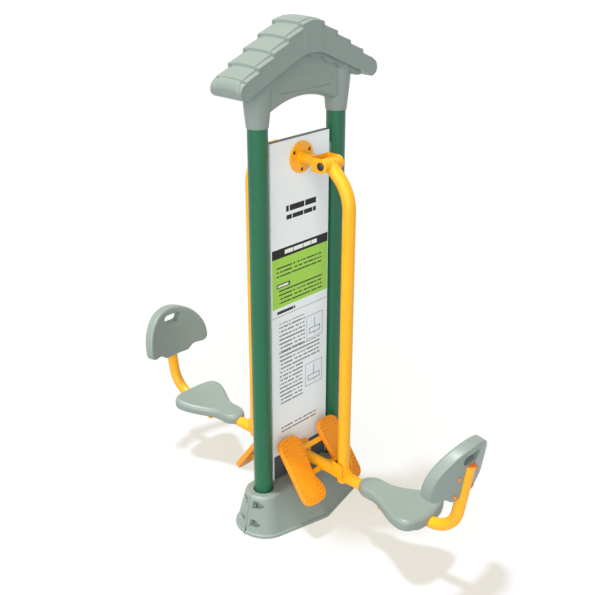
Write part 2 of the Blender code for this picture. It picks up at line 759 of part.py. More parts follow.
def make_cover_bolts(steel):
    """Bolts across the seam, each with its nut tightened in the rear pocket."""
    half = POCKET_SEAT + GAP / 2 + GAP
    for end, sx in (("near", -1), ("far", 1)):
        for height, level in zip(("upper", "lower"), POCKET_LEVELS):
            length = 2 * half + BOLT_HEAD_HEIGHT / 2
            bolt = hex_bolt(COVER_BOLT_DIAMETER, BOLT_HEAD_WIDTH, BOLT_HEAD_HEIGHT, length)
            nut = rod(BOLT_HEAD_WIDTH / math.sqrt(3), 2 * half, 2 * half + BOLT_HEAD_HEIGHT, HEX_FACETS)
            bolt = shifted(moved(fused([bolt, nut]), ALONG_Y), sx * cover_bolt_place(level), -half, level)
            place(end + "_" + height + "_cover_bolt", bolt, steel)


def make_board(sheet, steel):
    """Two folded sheet trays back to back round two cross beams."""
    hole = FLANGE_BOLT_DIAMETER / 2 + GAP
    for name, level in (("upper_cross_beam", PIVOT_HEIGHT), ("lower_cross_beam", STOP_HEIGHT)):
        half_z, half_y = BEAM_HEIGHT / 2, BEAM_DEPTH / 2
        beam = block((-POST_OFFSET, POST_OFFSET), (-half_y, half_y), (level - half_z, level + half_z))
        bore = block((-POST_SPACING, POST_SPACING), (-half_y + BEAM_WALL, half_y - BEAM_WALL),
                     (level - half_z + BEAM_WALL, level + half_z - BEAM_WALL))
        posts = [shifted(rod(POST_RADIUS + GAP, 0.0, POST_TOP, POST_FACETS), x=sx * POST_OFFSET)
                 for sx in (-1, 1)]
        place(name, cut(beam, [bore] + posts + through_drills(level, hole)), steel)
    for name, turn in SIDES:
        place(name + "_board_sheet", moved(make_board_sheet(hole), Matrix.Rotation(turn, 4, "Z")), sheet)


def board_block(inset, back):
    """Board-sized block with eased edges, from an inset behind the front face back to a plane."""
    half_height = (BOARD_TOP - BOARD_BOTTOM) / 2 - inset
    middle = (BOARD_TOP + BOARD_BOTTOM) / 2
    radius = BOARD_EDGE_RADIUS - inset
    outline = rounded_box(BOARD_HALF_WIDTH - inset, half_height, radius, centre=(0.0, middle))
    return rounded(front_plate(outline, -BOARD_HALF_DEPTH + inset, back), radius, 1)


def make_board_sheet(hole):
    """Sheet folded into a shallow tray, open towards the other one and notched for the beams."""
    trim = block((-POST_SPACING, POST_SPACING), (-GAP / 2, BOARD_DEPTH), (0.0, POST_TOP))
    slots = []
    for level in (PIVOT_HEIGHT, STOP_HEIGHT):
        half_z = BEAM_HEIGHT / 2 + GAP
        slots.append(block((-POST_OFFSET, POST_OFFSET), (-BEAM_DEPTH / 2 - BEAM_CLEARANCE, BOARD_DEPTH),
                           (level - half_z, level + half_z)))
    drills = through_drills(PIVOT_HEIGHT, hole) + through_drills(STOP_HEIGHT, hole)
    room = board_block(BOARD_SHEET, OVERRUN + BOARD_SHEET)
    return cut(board_block(0.0, OVERRUN), [room, trim] + slots + drills)


def make_hanger():
    """Flange, stub and two-cheeked fork that holds the arm's pivot."""
    plate = flange(PIVOT_HEIGHT)
    drills = flange_drills(PIVOT_HEIGHT, FLANGE_BOLT_DIAMETER / 2 + GAP, FLANGE_THICKNESS + OVERRUN)
    head = FLANGE_BOLT_HEAD_DIAMETER / 2 + 2 * GAP
    drills += flange_drills(PIVOT_HEIGHT, head, FLANGE_BOLT_HEAD_HEIGHT + GAP)
    stub_length = FORK_BACK_REACH - FLANGE_FACE + FLANGE_THICKNESS
    stub = moved(rod(STUB_RADIUS, 0.0, stub_length), ALONG_Y)
    stub = shifted(stub, y=-FORK_BACK_REACH - FORK_BACK_THICKNESS / 2, z=PIVOT_HEIGHT)
    low, high = PIVOT_HEIGHT - FORK_END_RADIUS, PIVOT_HEIGHT + FORK_END_RADIUS
    back = block((-CHEEK_FACE, CHEEK_FACE), (-FORK_BACK_REACH - FORK_BACK_THICKNESS, -FORK_BACK_REACH),
                 (low, high))
    outline = [(-FORK_BACK_REACH, low), (-FORK_BACK_REACH, high)]
    centre = (-PIVOT_REACH, PIVOT_HEIGHT)
    outline += arc(centre, FORK_END_RADIUS, math.pi / 2, 3 * math.pi / 2, TUBE_FACETS // 2)
    cheeks = []
    for side in (-1, 1):
        span = sorted((side * (CHEEK_FACE - FORK_CHEEK), side * CHEEK_FACE))
        cheeks.append(side_plate(outline, *span))
    shape = fused([plate, stub, back] + cheeks)
    hole = moved(rod(PIVOT_DIAMETER / 2 + GAP, -FORK_INNER_WIDTH, FORK_INNER_WIDTH), ALONG_X)
    return cut(shape, drills + [shifted(hole, y=-PIVOT_REACH, z=PIVOT_HEIGHT)])


def make_pivot_bolt():
    """Bolt through both cheeks, its tightened nut on the far one."""
    face = CHEEK_FACE + GAP
    bolt = hex_bolt(PIVOT_DIAMETER, PIVOT_HEAD_WIDTH, PIVOT_HEAD_HEIGHT, 2 * face + PIVOT_HEAD_HEIGHT / 2)
    nut = rod(PIVOT_HEAD_WIDTH / math.sqrt(3), 2 * face, 2 * face + PIVOT_HEAD_HEIGHT, HEX_FACETS)
    return shifted(moved(fused([bolt, nut]), ALONG_X), -face, -PIVOT_REACH, PIVOT_HEIGHT)


def make_pivot_caps():
    """Domed cups over the bolt's head and its nut, near one first."""
    inner = CAP_RADIUS - CAP_WALL
    profile = [(CAP_RADIUS * r, CAP_HEIGHT * h) for r, h in CAP_PROFILE_SHARES]
    outer = turned(profile, BEARING_FACETS)
    room = rod(inner, -OVERRUN, PIVOT_HEAD_HEIGHT + 3 * GAP, BEARING_FACETS)
    cup = cut(outer, [room])
    caps = []
    for side in (-1, 1):
        cap = shifted(cup.copy(), z=CHEEK_FACE + GAP)
        caps.append(moved(cap, Matrix.Rotation(side * math.pi / 2, 4, "Y")))
    return [shifted(cap, y=-PIVOT_REACH, z=PIVOT_HEIGHT) for cap in caps]


def make_bearings():
    """Two ring bearings, one in each end of the barrel, near one first."""
    half = FORK_INNER_WIDTH / 2 - BARREL_SIDE_CLEARANCE
    rings = []
    inner = PIVOT_DIAMETER / 2 + GAP
    groove = BEARING_RACE / 2
    race, sunk = inner + BEARING_RACE, BEARING_WIDTH - groove
    levels = [(BEARING_RADIUS, 0.0), (BEARING_RADIUS, sunk), (race, sunk), (race, BEARING_WIDTH),
              (inner, BEARING_WIDTH), (inner, 0.0)]
    loop = [[(x, y, z) for x, y in circle(r, BEARING_FACETS)] for r, z in levels]
    for side in (-1, 1):
        ring = shifted(skin(loop, looped=True), z=half - BEARING_WIDTH)
        rings.append(moved(ring, Matrix.Rotation(side * math.pi / 2, 4, "Y")))
    return [shifted(ring, y=-PIVOT_REACH, z=PIVOT_HEIGHT) for ring in rings]


def arm_path(start_length, steps=BEND_STEPS):
    """Centre line of the hanging tube: out from the barrel, round a bend, straight down."""
    bend_y = -ARM_REACH + ARM_BEND_RADIUS
    turn = np.linspace(ARM_BEND_ANGLE, 0, steps + 1)
    ys = bend_y - ARM_BEND_RADIUS * np.cos(turn)
    run = (ys[0] + PIVOT_REACH) / -math.sin(ARM_BEND_ANGLE)
    first_z = PIVOT_HEIGHT - run * math.cos(ARM_BEND_ANGLE)
    zs = first_z - ARM_BEND_RADIUS * (math.sin(ARM_BEND_ANGLE) - np.sin(turn))
    start_y = -PIVOT_REACH - start_length * math.sin(ARM_BEND_ANGLE)
    start_z = PIVOT_HEIGHT - start_length * math.cos(ARM_BEND_ANGLE)
    return [(start_y, start_z)] + list(zip(ys, zs))


def seat_path(start, top, steps=BEND_STEPS + 1):
    """Centre line of the seat tube: level under the seat, then up behind the back."""
    angle = math.pi / 2 - BACK_LEAN
    turn = np.linspace(0, angle, steps + 1)
    ys = -SEAT_TUBE_BEND_START - SEAT_TUBE_BEND_RADIUS * np.sin(turn)
    zs = SEAT_TUBE_HEIGHT + SEAT_TUBE_BEND_RADIUS * (1 - np.cos(turn))
    end = (ys[-1] - (top - zs[-1]) * math.tan(BACK_LEAN), top)
    return [(-start, SEAT_TUBE_HEIGHT)] + list(zip(ys, zs)) + [end]


def lean_frame():
    """Backrest's own frame: X across to the near side, Y up the lean, Z towards the user."""
    lean = Matrix.Rotation(math.pi, 4, "Z") @ Matrix.Rotation(math.pi / 2 - BACK_LEAN, 4, "X")
    return Matrix.Translation((0.0, -BACK_FACE_REACH, BACK_FACE_LEVEL)) @ lean


def up_lean(level):
    return (level - BACK_FACE_LEVEL) / math.cos(BACK_LEAN)


def make_swing_arm():
    """Barrel, hanging tube, seat tube, gusset and the ears that carry seat and back."""
    half = FORK_INNER_WIDTH / 2 - BARREL_SIDE_CLEARANCE
    barrel = shifted(moved(rod(BARREL_RADIUS, -half, half), ALONG_X), y=-PIVOT_REACH, z=PIVOT_HEIGHT)
    foot = (-ARM_REACH, SEAT_TUBE_HEIGHT - SEAT_TUBE_RADIUS - ARM_WALL / 2)
    hanging = sweep(arm_path(0.0) + [foot], ARM_RADIUS)
    seat_tube = sweep(seat_path(ARM_REACH, SEAT_TUBE_TOP), SEAT_TUBE_RADIUS)
    corner = (-ARM_REACH - ARM_RADIUS, SEAT_TUBE_HEIGHT + SEAT_TUBE_RADIUS)
    sink = ARM_WALL / 2
    middle = (corner[0] - GUSSET_RADIUS, corner[1] + GUSSET_RADIUS)
    outline = arc(middle, GUSSET_RADIUS, -math.pi / 2, 0.0, BEND_STEPS)
    inner = (corner[0] + sink, corner[1] - sink)
    outline += [(inner[0], middle[1]), inner, (middle[0], inner[1])]
    gusset = side_plate(outline[::-1], -ARM_GUSSET_THICKNESS / 2, ARM_GUSSET_THICKNESS / 2)
    parts = [barrel, hanging, seat_tube, gusset]
    top, sunk = SEAT_UNDERSIDE - GAP, EAR_THICKNESS / 2
    for reach in SEAT_EAR_REACHES:
        span = (-reach - EAR_WIDTH / 2, -reach + EAR_WIDTH / 2)
        parts.append(block((-SEAT_EAR_HALF_SPAN, SEAT_EAR_HALF_SPAN), span, (top - EAR_THICKNESS, top)))
    bolt = hex_bolt(BOLT_DIAMETER, BOLT_HEAD_WIDTH, BOLT_HEAD_HEIGHT + sunk, sunk + SEAT_BOLT_DEPTH)
    parts += [shifted(bolt.copy(), x, y, top - sunk) for x, y in seat_bolt_places()]
    for level in BACK_BOLT_LEVELS:
        up = up_lean(level)
        parts.append(back_ear(up, 0.0))
    shape = fused(parts)
    bore_start = BARREL_RADIUS + ARM_WALL / 3
    hollow = sweep(arm_path(bore_start, BEND_STEPS - 1) + [(foot[0], foot[1] + ARM_WALL)],
                   ARM_RADIUS - ARM_WALL, HIDDEN_FACETS)
    seat_hollow = sweep(seat_path(ARM_REACH, SEAT_TUBE_TOP - SEAT_TUBE_WALL, BEND_STEPS - 1),
                        SEAT_TUBE_RADIUS - SEAT_TUBE_WALL, HIDDEN_FACETS)
    race = BEARING_RADIUS + GAP
    inner_bore = BEARING_RADIUS - BEARING_RACE
    depth = BEARING_WIDTH + GAP
    bores = [rod(inner_bore, -half - OVERRUN, half + OVERRUN, BEARING_FACETS)]
    bores.append(rod(race, half - depth, half + OVERRUN, BEARING_FACETS))
    bores.append(rod(race, -half - OVERRUN, -half + depth, BEARING_FACETS))
    bores = [shifted(moved(b, ALONG_X), y=-PIVOT_REACH, z=PIVOT_HEIGHT) for b in bores]
    drain = shifted(rod(DRAIN_DIAMETER / 2, foot[1] - OVERRUN, SEAT_TUBE_HEIGHT, BOLT_FACETS), y=-DRAIN_REACH)
    drills = []
    hole = BOLT_DIAMETER / 2 + GAP
    for x, up in back_bolt_places():
        drill = shifted(rod(hole, 0.0, BACK_THICKNESS, BOLT_FACETS), x, up)
        drills.append(moved(drill, lean_frame()))
    return cut(shape, [fused([hollow, seat_hollow]), drain] + bores + drills)


def back_ear(up, clearance):
    """Plate across the tube, buried in the backrest; or its pocket, with a clearance."""
    half_x, half_y = BACK_EAR_HALF_SPAN + clearance, EAR_WIDTH / 2 + clearance
    depth = (BACK_EAR_DEPTH - clearance, BACK_EAR_DEPTH + EAR_THICKNESS + clearance)
    return moved(block((-half_x, half_x), (up - half_y, up + half_y), depth), lean_frame())


def seat_bolt_places():
    return [(sx * SEAT_BOLT_OFFSET, -reach) for sx in (-1, 1) for reach in SEAT_EAR_REACHES]


def back_bolt_places():
    return [(sx * BACK_BOLT_OFFSET, up_lean(level)) for sx in (-1, 1) for level in BACK_BOLT_LEVELS]


def level_at(level):
    """A flat face for pad."""
    return lambda flat: np.full(len(flat), level)


def ease(share):
    share = np.clip(share, 0.0, 1.0)
    return share * share * (3 - 2 * share)


def seat_outline():
    """Saddle outline: a narrow nose widening to two rear lobes.

    Half width is an eased step from nose to rear, times a superellipse fall-off
    at each end.
    """
    middle = (SEAT_NOSE_REACH + SEAT_BACK_REACH) / 2
    half = (SEAT_BACK_REACH - SEAT_NOSE_REACH) / 2
    swing = np.linspace(0, math.pi, SEAT_STATIONS)
    reach = middle - half * np.cos(swing)
    step = ease((reach - SEAT_WIDENING_START) / (SEAT_WIDENING_END - SEAT_WIDENING_START))
    width = SEAT_NOSE_HALF_WIDTH + (SEAT_BACK_HALF_WIDTH - SEAT_NOSE_HALF_WIDTH) * step
    nose = np.clip(1 - (reach - SEAT_NOSE_REACH) / SEAT_NOSE_ROUND, 0, 1)
    rear = np.clip(1 - (SEAT_BACK_REACH - reach) / SEAT_BACK_ROUND, 0, 1)
    width = width * np.sqrt(1 - nose ** 2) * (1 - rear ** 4) ** 0.5
    left = [(-w, -r) for w, r in zip(width, reach)]
    right = [(w, -r) for w, r in zip(width[1:-1], reach[1:-1])]
    return left[::-1] + right


def seat_top(flat):
    """Level of the seat's upper face: dished across, rising at the rear."""
    reach = -flat[:, 1]
    along = (reach - SEAT_NOSE_REACH) / (SEAT_BACK_REACH - SEAT_NOSE_REACH)
    across = flat[:, 0] / SEAT_BACK_HALF_WIDTH
    rise = SEAT_REAR_RISE * ease((along - SEAT_RISE_START_SHARE) / (1 - SEAT_RISE_START_SHARE))
    dish = SEAT_DISH * (across ** 2 - SEAT_LEVEL_LINE_SHARE) * ease(along / SEAT_DISH_END_SHARE)
    return SEAT_TOP + rise + dish


def make_seat():
    """Moulded saddle with a channel for the tube and blind holes for its bolts."""
    centre = (0.0, -(SEAT_NOSE_REACH + 2 * SEAT_BACK_REACH) / 3)
    shape = pad(seat_outline()[::-1], centre, level_at(SEAT_UNDERSIDE), seat_top,
                SEAT_FOOT_RADIUS, SEAT_EDGE_RADIUS)
    clear = SEAT_TUBE_RADIUS + SEAT_TUBE_CLEARANCE
    channel = sweep(seat_path(ARM_REACH, SEAT_TUBE_TOP)[:3], clear)
    below = SEAT_UNDERSIDE - OVERRUN
    mouth = block((-clear, clear), (-SEAT_BACK_REACH - OVERRUN, -ARM_REACH), (below, SEAT_TUBE_HEIGHT))
    hole = BOLT_DIAMETER / 2 + GAP
    drill = rod(hole, below, SEAT_UNDERSIDE + SEAT_BOLT_DEPTH + GAP, BOLT_FACETS)
    drills = [shifted(drill.copy(), x, y) for x, y in seat_bolt_places()]
    return cut(shape, [fused([channel, mouth])] + drills)


def back_outline():
    """Half disc above, two wings and a tongue below, in the backrest's own frame."""
    arc_level = up_lean(BACK_ARC_LEVEL)
    wing = up_lean(BACK_WING_LEVEL)
    tongue = up_lean(BACK_TONGUE_LEVEL)
    radius = BACK_CORNER_RADIUS
    top = arc((0.0, arc_level), BACK_HALF_WIDTH, 0.0, math.pi, BACK_ARC_STEPS)
    left = arc((-BACK_HALF_WIDTH + radius, wing + radius), radius, math.pi, 3 * math.pi / 2, FILLET_STEPS)
    notch = -BACK_TONGUE_HALF_WIDTH - BACK_NOTCH_HALF_WIDTH
    step = [(notch + 2 * BACK_NOTCH_HALF_WIDTH * s, wing + (tongue - wing) * ease(s))
            for s in np.linspace(0, 1, NOTCH_STEPS + 1)]
    bottom = left + step
    floor = [(0.0, tongue)]
    right = [(-x, y) for x, y in bottom[::-1]]
    return top + bottom + floor + right


def back_rear(flat):
    return BACK_BOW * (flat[:, 0] / BACK_HALF_WIDTH) ** 2


def back_front(flat):
    return BACK_THICKNESS + BACK_BOW * (flat[:, 0] / BACK_HALF_WIDTH) ** 2


def make_backrest():
    """Bowed half-round back with a hand slot, a tube channel and blind bolt holes."""
    centre = (0.0, up_lean(BACK_FACE_LEVEL))
    shape = pad(back_outline(), centre, back_rear, back_front, BACK_EDGE_RADIUS, BACK_EDGE_RADIUS)
    half = SLOT_HEIGHT / 2
    slot_outline = rounded_box(SLOT_WIDTH / 2, half, half - GAP, FILLET_STEPS + 1, (0.0, up_lean(SLOT_LEVEL)))
    slot = prism(slot_outline, -OVERRUN, BACK_THICKNESS + OVERRUN)
    clear = SEAT_TUBE_RADIUS + SEAT_TUBE_CLEARANCE
    behind = seat_path(ARM_REACH, SEAT_TUBE_TOP + SEAT_TUBE_CLEARANCE)[-2:]
    channel = sweep(behind, clear)
    mouth_outline = behind + [(y - SEAT_TUBE_RADIUS, z) for y, z in behind[::-1]]
    mouth = side_plate(mouth_outline, -clear, clear)
    pockets = [back_ear(up_lean(level), GAP) for level in BACK_BOLT_LEVELS]
    depth = BACK_EAR_DEPTH + EAR_THICKNESS + BACK_BOLT_REACH_IN + GAP
    hole = rod(BOLT_DIAMETER / 2 + GAP, -OVERRUN, depth, BOLT_FACETS)
    spot = rod(BOLT_HEAD_WIDTH / math.sqrt(3) + 2 * GAP, -OVERRUN, back_bolt_seat(), HEAD_FACETS)
    drills = [shifted(tool.copy(), x, up) for x, up in back_bolt_places() for tool in (hole, spot)]
    drills = [moved(tool, lean_frame()) for tool in [slot] + drills]
    return cut(moved(shape, lean_frame()), [channel, mouth] + pockets + drills)


def back_bolt_seat():
    """Depth of the flat under each head, where the bowed face just clears it."""
    outer = BACK_BOLT_OFFSET + BOLT_HEAD_WIDTH / 2
    return BACK_BOW * (outer / BACK_HALF_WIDTH) ** 2


def make_back_bolts():
    """Bolts through the backrest's rear face into the buried plates."""
    start = back_bolt_seat() - GAP
    length = BACK_EAR_DEPTH + EAR_THICKNESS + BACK_BOLT_REACH_IN - start
    bolt = hex_bolt(BOLT_DIAMETER, BOLT_HEAD_WIDTH, BOLT_HEAD_HEIGHT, length)
    return [moved(shifted(bolt.copy(), x, up, start), lean_frame()) for x, up in back_bolt_places()]


def pedal_frame():
    """Footrest frame: X across, Y down the face, Z away from the user, at the top edge."""
    lean = Matrix.Rotation(-math.pi / 2 - PEDAL_LEAN, 4, "X")
    return Matrix.Translation((0.0, -PEDAL_TOP_REACH, PEDAL_TOP_LEVEL)) @ lean


def superellipse(half_x, half_y, power, facets):
    """|x/half_x| and |y/half_y|, each to the given power, add up to one."""
    turn = (np.arange(facets) + 0.5) * 2 * math.pi / facets
    share = 2 / power
    x = half_x * np.sign(np.cos(turn)) * np.abs(np.cos(turn)) ** share
    y = half_y * np.sign(np.sin(turn)) * np.abs(np.sin(turn)) ** share
    return np.stack([x, y], axis=1)


def make_pedal(side):
    outline = superellipse(PEDAL_WIDTH / 2, PEDAL_LENGTH / 2, PEDAL_ROUNDNESS, PEDAL_FACETS)
    shape = pad(outline, (0.0, 0.0), level_at(0.0), level_at(PEDAL_THICKNESS),
                PEDAL_EDGE_RADIUS, PEDAL_EDGE_RADIUS, ())
    shape = shifted(shape, x=side * PEDAL_OFFSET, y=PEDAL_LENGTH / 2)
    hole = BOLT_DIAMETER / 2 + GAP
    start = PEDAL_THICKNESS - PEDAL_BOLT_DEPTH - GAP
    drills = [shifted(rod(hole, start, PEDAL_THICKNESS + OVERRUN, BOLT_FACETS), x, y)
              for x, y in pedal_bolt_places() if x * side > 0]
    return moved(cut(shape, drills), pedal_frame())


def pedal_bolt_places():
    return [(side * PEDAL_OFFSET, y) for side in (-1, 1) for y in CROSS_BAR_PLACES]


def make_footrest_frame():
    """Flange, stub, collar, cradle for the resting arm, and bars for the footrests."""
    plate = flange(STOP_HEIGHT)
    seats = flange_drills(STOP_HEIGHT, FLANGE_BOLT_HEAD_DIAMETER / 2 + 2 * GAP, FLANGE_BOLT_HEAD_HEIGHT)
    end = -CRADLE_REACH + CRADLE_PLATE / 2
    stub = moved(rod(STUB_RADIUS, end, -FLANGE_FACE + FLANGE_THICKNESS / 2), ALONG_Y)
    collar = moved(rod(COLLAR_RADIUS, end, -COLLAR_START), ALONG_Y)
    outer = CRADLE_INNER_HALF_WIDTH + CRADLE_PLATE
    low = STOP_HEIGHT - COLLAR_RADIUS * CRADLE_FOOT_SHARE
    back = block((-outer, outer), (-CRADLE_REACH, -CRADLE_REACH + CRADLE_PLATE), (low, CRADLE_TOP))
    parts = [plate, shifted(stub, z=STOP_HEIGHT), shifted(collar, z=STOP_HEIGHT), back]
    radius = CRADLE_CORNER_RADIUS
    inside = -CRADLE_REACH + CRADLE_PLATE
    corner = (-CRADLE_CHEEK_REACH + radius, CRADLE_TOP - radius)
    outline = [(inside, CRADLE_CHEEK_BOTTOM), (inside, CRADLE_TOP)]
    outline += arc(corner, radius, math.pi / 2, math.pi, FILLET_STEPS)
    outline += [(-CRADLE_CHEEK_REACH, CRADLE_CHEEK_BOTTOM)]
    for side in (-1, 1):
        span = sorted((side * CRADLE_INNER_HALF_WIDTH, side * outer))
        parts.append(side_plate(outline, *span))
    near, far = PEDAL_THICKNESS + GAP, PEDAL_THICKNESS + GAP + CROSS_BAR_THICKNESS
    for y in CROSS_BAR_PLACES:
        span = (y - CROSS_BAR_WIDTH / 2, y + CROSS_BAR_WIDTH / 2)
        bar = block((-CROSS_BAR_HALF_LENGTH, CROSS_BAR_HALF_LENGTH), span, (near, far))
        parts.append(moved(bar, pedal_frame()))
    for side in (-1, 1):
        x = side * PEDAL_OFFSET
        half = STRINGER_WIDTH / 2
        bar = block((x - half, x + half), (STRINGER_START, STRINGER_END),
                    (far - CROSS_BAR_THICKNESS / 2, far + STRINGER_THICKNESS))
        parts.append(moved(bar, pedal_frame()))
    sunk = CROSS_BAR_THICKNESS / 4
    length = STRINGER_THICKNESS + CROSS_BAR_THICKNESS - sunk + PEDAL_BOLT_DEPTH
    bolt = hex_bolt(BOLT_DIAMETER, BOLT_HEAD_WIDTH, BOLT_HEAD_HEIGHT + sunk, length)
    moved(bolt, Matrix.Rotation(math.pi, 4, "X"))
    start = far + STRINGER_THICKNESS - sunk
    parts += [moved(shifted(bolt.copy(), x, y, start), pedal_frame()) for x, y in pedal_bolt_places()]
    sunk_bolts = [shifted(b, y=GAP) for b in flange_bolts(STOP_HEIGHT, round_bolt)]
    return fused([cut(fused(parts), seats)] + sunk_bolts)


def make_bumper():
    """Rubber block that the arm rests on between the cradle's cheeks."""
    start = -ARM_REACH + ARM_RADIUS + GAP
    outline = rounded_box(BUMPER_HALF_WIDTH, BUMPER_HEIGHT / 2, BOLT_DIAMETER, centre=(0.0, BUMPER_LEVEL))
    return front_plate(outline, start, -CRADLE_REACH - GAP)


def step_profile():
    """Right half of the roof's upper outline, from the ridge to the eave."""
    across, down = ROOF_CAP_SHARES
    points = [(0.0, ROOF_RIDGE), (ROOF_CAP_HALF_WIDTH * across, ROOF_RIDGE - ROOF_CAP_DROP * down)]
    for k in range(ROOF_COURSES):
        x = ROOF_CAP_HALF_WIDTH + k * ROOF_COURSE_PITCH
        z = ROOF_CAP_EDGE - k * ROOF_COURSE_DROP
        points += [(x - ROOF_STEP_NOSE, z + ROOF_STEP_NOSE * ROOF_NOSE_RISE_SHARE), (x, z - ROOF_STEP_NOSE),
                   (x - ROOF_STEP_NOSE * ROOF_NOSE_UNDERCUT_SHARE, z - ROOF_STEP)]
    centre = (ROOF_EAVE_REACH - ROOF_EAVE_RADIUS, ROOF_EAVE_LEVEL)
    points += arc(centre, ROOF_EAVE_RADIUS, ROOF_SHOULDER_TURN, -math.pi / 2, BEND_STEPS - 1)
    return points


def deck_sections():
    """Half depth stations with the drop of the upper face at each one."""
    edge = ROOF_HALF_DEPTH
    groove = edge - ROOF_RIM_WIDTH
    half_groove = ROOF_GROOVE_WIDTH / 2
    stations = [(0.0, 0.0), (groove - half_groove, 0.0), (groove, ROOF_GROOVE_DEPTH),
                (groove + half_groove, 0.0), (edge, ROOF_EDGE_DROP)]
    rows = [(y, drop - ROOF_BULGE * (1 - (y / edge) ** 2)) for y, drop in stations]
    return [(-y, d) for y, d in rows[:0:-1]] + rows


def make_deck():
    """Stepped roof slab: the outline carried along Y, crowned, grooved and eased at its edges."""
    right = step_profile()
    upper = [(-x, z) for x, z in right[:0:-1]] + right
    half = [(ROOF_KNEE_REACH, ROOF_KNEE_LEVEL), (ROOF_PEAK_HALF_WIDTH, ROOF_PEAK_LEVEL)]
    lower = half + [(0.0, ROOF_APEX)] + [(-x, z) for x, z in half[::-1]]
    low_level = ROOF_EAVE_LEVEL - ROOF_EAVE_RADIUS
    rings = []
    for y, drop in deck_sections():
        ring = []
        for x, z in upper:
            weight = ease(np.array([(z - low_level) / ROOF_EAVE_RADIUS]))[0]
            ring.append((x, y, z - drop * weight))
        ring += [(x, y, z) for x, z in lower]
        rings.append(ring)
    return skin(rings)


def underside_level(x):
    """Level of the barge boards' lower edge at a distance from the ridge."""
    reaches = (0.0, ROOF_PEAK_HALF_WIDTH, ROOF_KNEE_REACH)
    return float(np.interp(x, reaches, (ROOF_APEX, ROOF_PEAK_LEVEL, ROOF_KNEE_LEVEL)))


def soffit_outline():
    """Underside of the deck between the barge boards, hanging in scallops."""
    points = []
    for s in np.linspace(0, 1, SCALLOP_STEPS * SCALLOP_COUNT + 1):
        x = s * ROOF_KNEE_REACH
        dip = SCALLOP_DEPTH * abs(math.sin(math.pi * SCALLOP_COUNT * s))
        points.append((x, underside_level(x) - SOFFIT_DROP - dip))
    upper = [(ROOF_KNEE_REACH, ROOF_KNEE_LEVEL + SOFFIT_RISE), (0.0, ROOF_APEX + SOFFIT_RISE)]
    left = [(-x, z) for x, z in points[:0:-1]]
    return left + points + upper + [(-x, z) for x, z in upper[:1]]


def gable_outline():
    """Wall between the sockets, with an arched lower edge."""
    shares = np.linspace(-1, 1, ARCH_STEPS + 1)
    foot = [(s * POST_OFFSET, GABLE_CROWN - GABLE_ARCH_RISE * s ** 2) for s in shares]
    shoulder = underside_level(POST_OFFSET) + SOFFIT_DROP
    return foot + [(POST_OFFSET, shoulder), (0.0, ROOF_APEX + SOFFIT_DROP), (-POST_OFFSET, shoulder)]


def gable_field(face):
    """Shallow arched recess, left bare, on one face of the gable wall."""
    shares = np.linspace(-1, 1, ARCH_STEPS + 1)
    sag = GABLE_ARCH_RISE * GABLE_FIELD_ARCH_SHARE
    low = [(s * GABLE_FIELD_HALF_WIDTH, GABLE_CROWN + GABLE_FIELD_MARGIN - sag * s ** 2) for s in shares]
    high = [(x, z + GABLE_FIELD_HEIGHT) for x, z in low[::-1]]
    span = sorted((face * (GABLE_HALF_DEPTH - GABLE_FIELD_DEPTH), face * (GABLE_HALF_DEPTH + OVERRUN)))
    return front_plate(low + high, *span)


def make_roof(plastic):
    """One moulding: stepped deck, scalloped soffit, gable wall and two tapered sockets."""
    parts = [make_deck(), front_plate(soffit_outline(), -SOFFIT_HALF_DEPTH, SOFFIT_HALF_DEPTH),
             front_plate(gable_outline(), -GABLE_HALF_DEPTH, GABLE_HALF_DEPTH)]
    for sx in (-1, 1):
        socket = rod(SOCKET_BOTTOM_RADIUS, SOCKET_BOTTOM, SOCKET_TOP, POST_FACETS, SOCKET_TOP_RADIUS)
        parts.append(shifted(socket, x=sx * POST_OFFSET))
    shape = fused(parts)
    drills = [gable_field(-1), gable_field(1)]
    for sx in (-1, 1):
        post = rod(POST_RADIUS + GAP, SOCKET_BOTTOM - OVERRUN, POST_TOP + GAP, POST_FACETS)
        drills.append(shifted(post, x=sx * POST_OFFSET))
        screw = moved(rod(SCREW_DIAMETER / 2 + GAP, -POST_DIAMETER, POST_DIAMETER, BOLT_FACETS), ALONG_Y)
        drills.append(shifted(screw, x=sx * POST_OFFSET, z=SOCKET_SCREW_LEVEL))
    place("roof", cut(shape, drills), plastic)


def make_roof_screws(steel):
    """Four screws through the socket walls into the posts, one on each face."""
    rise = (SOCKET_SCREW_LEVEL + SCREW_HEAD_DIAMETER / 2 - SOCKET_BOTTOM) / (SOCKET_TOP - SOCKET_BOTTOM)
    face = SOCKET_BOTTOM_RADIUS + (SOCKET_TOP_RADIUS - SOCKET_BOTTOM_RADIUS) * rise + GAP
    for end, sx in (("near", -1), ("far", 1)):
        for side, turn in SIDES:
            screw = round_bolt(SCREW_DIAMETER, SCREW_HEAD_DIAMETER, SCREW_HEAD_HEIGHT,
                               face - POST_RADIUS + POST_WALL + SCREW_REACH_IN)
            screw = shifted(moved(screw, ALONG_Y), y=-face)
            screw = moved(screw, Matrix.Rotation(turn, 4, "Z"))
            screw = shifted(screw, x=sx * POST_OFFSET, z=SOCKET_SCREW_LEVEL)
            place(end + "_" + side + "_roof_screw", screw, steel)


def named_row(name, places, meshes, mat):
    return [(place_word + "_" + name, mesh, mat) for place_word, mesh in zip(places, meshes)]


def node_name(side, name, turn):
    """Name with its side; half a turn about Z makes near far and far near."""
    words = {"near": "far", "far": "near"} if turn else {}
    return "_".join([side] + [words.get(word, word) for word in name.split("_")])


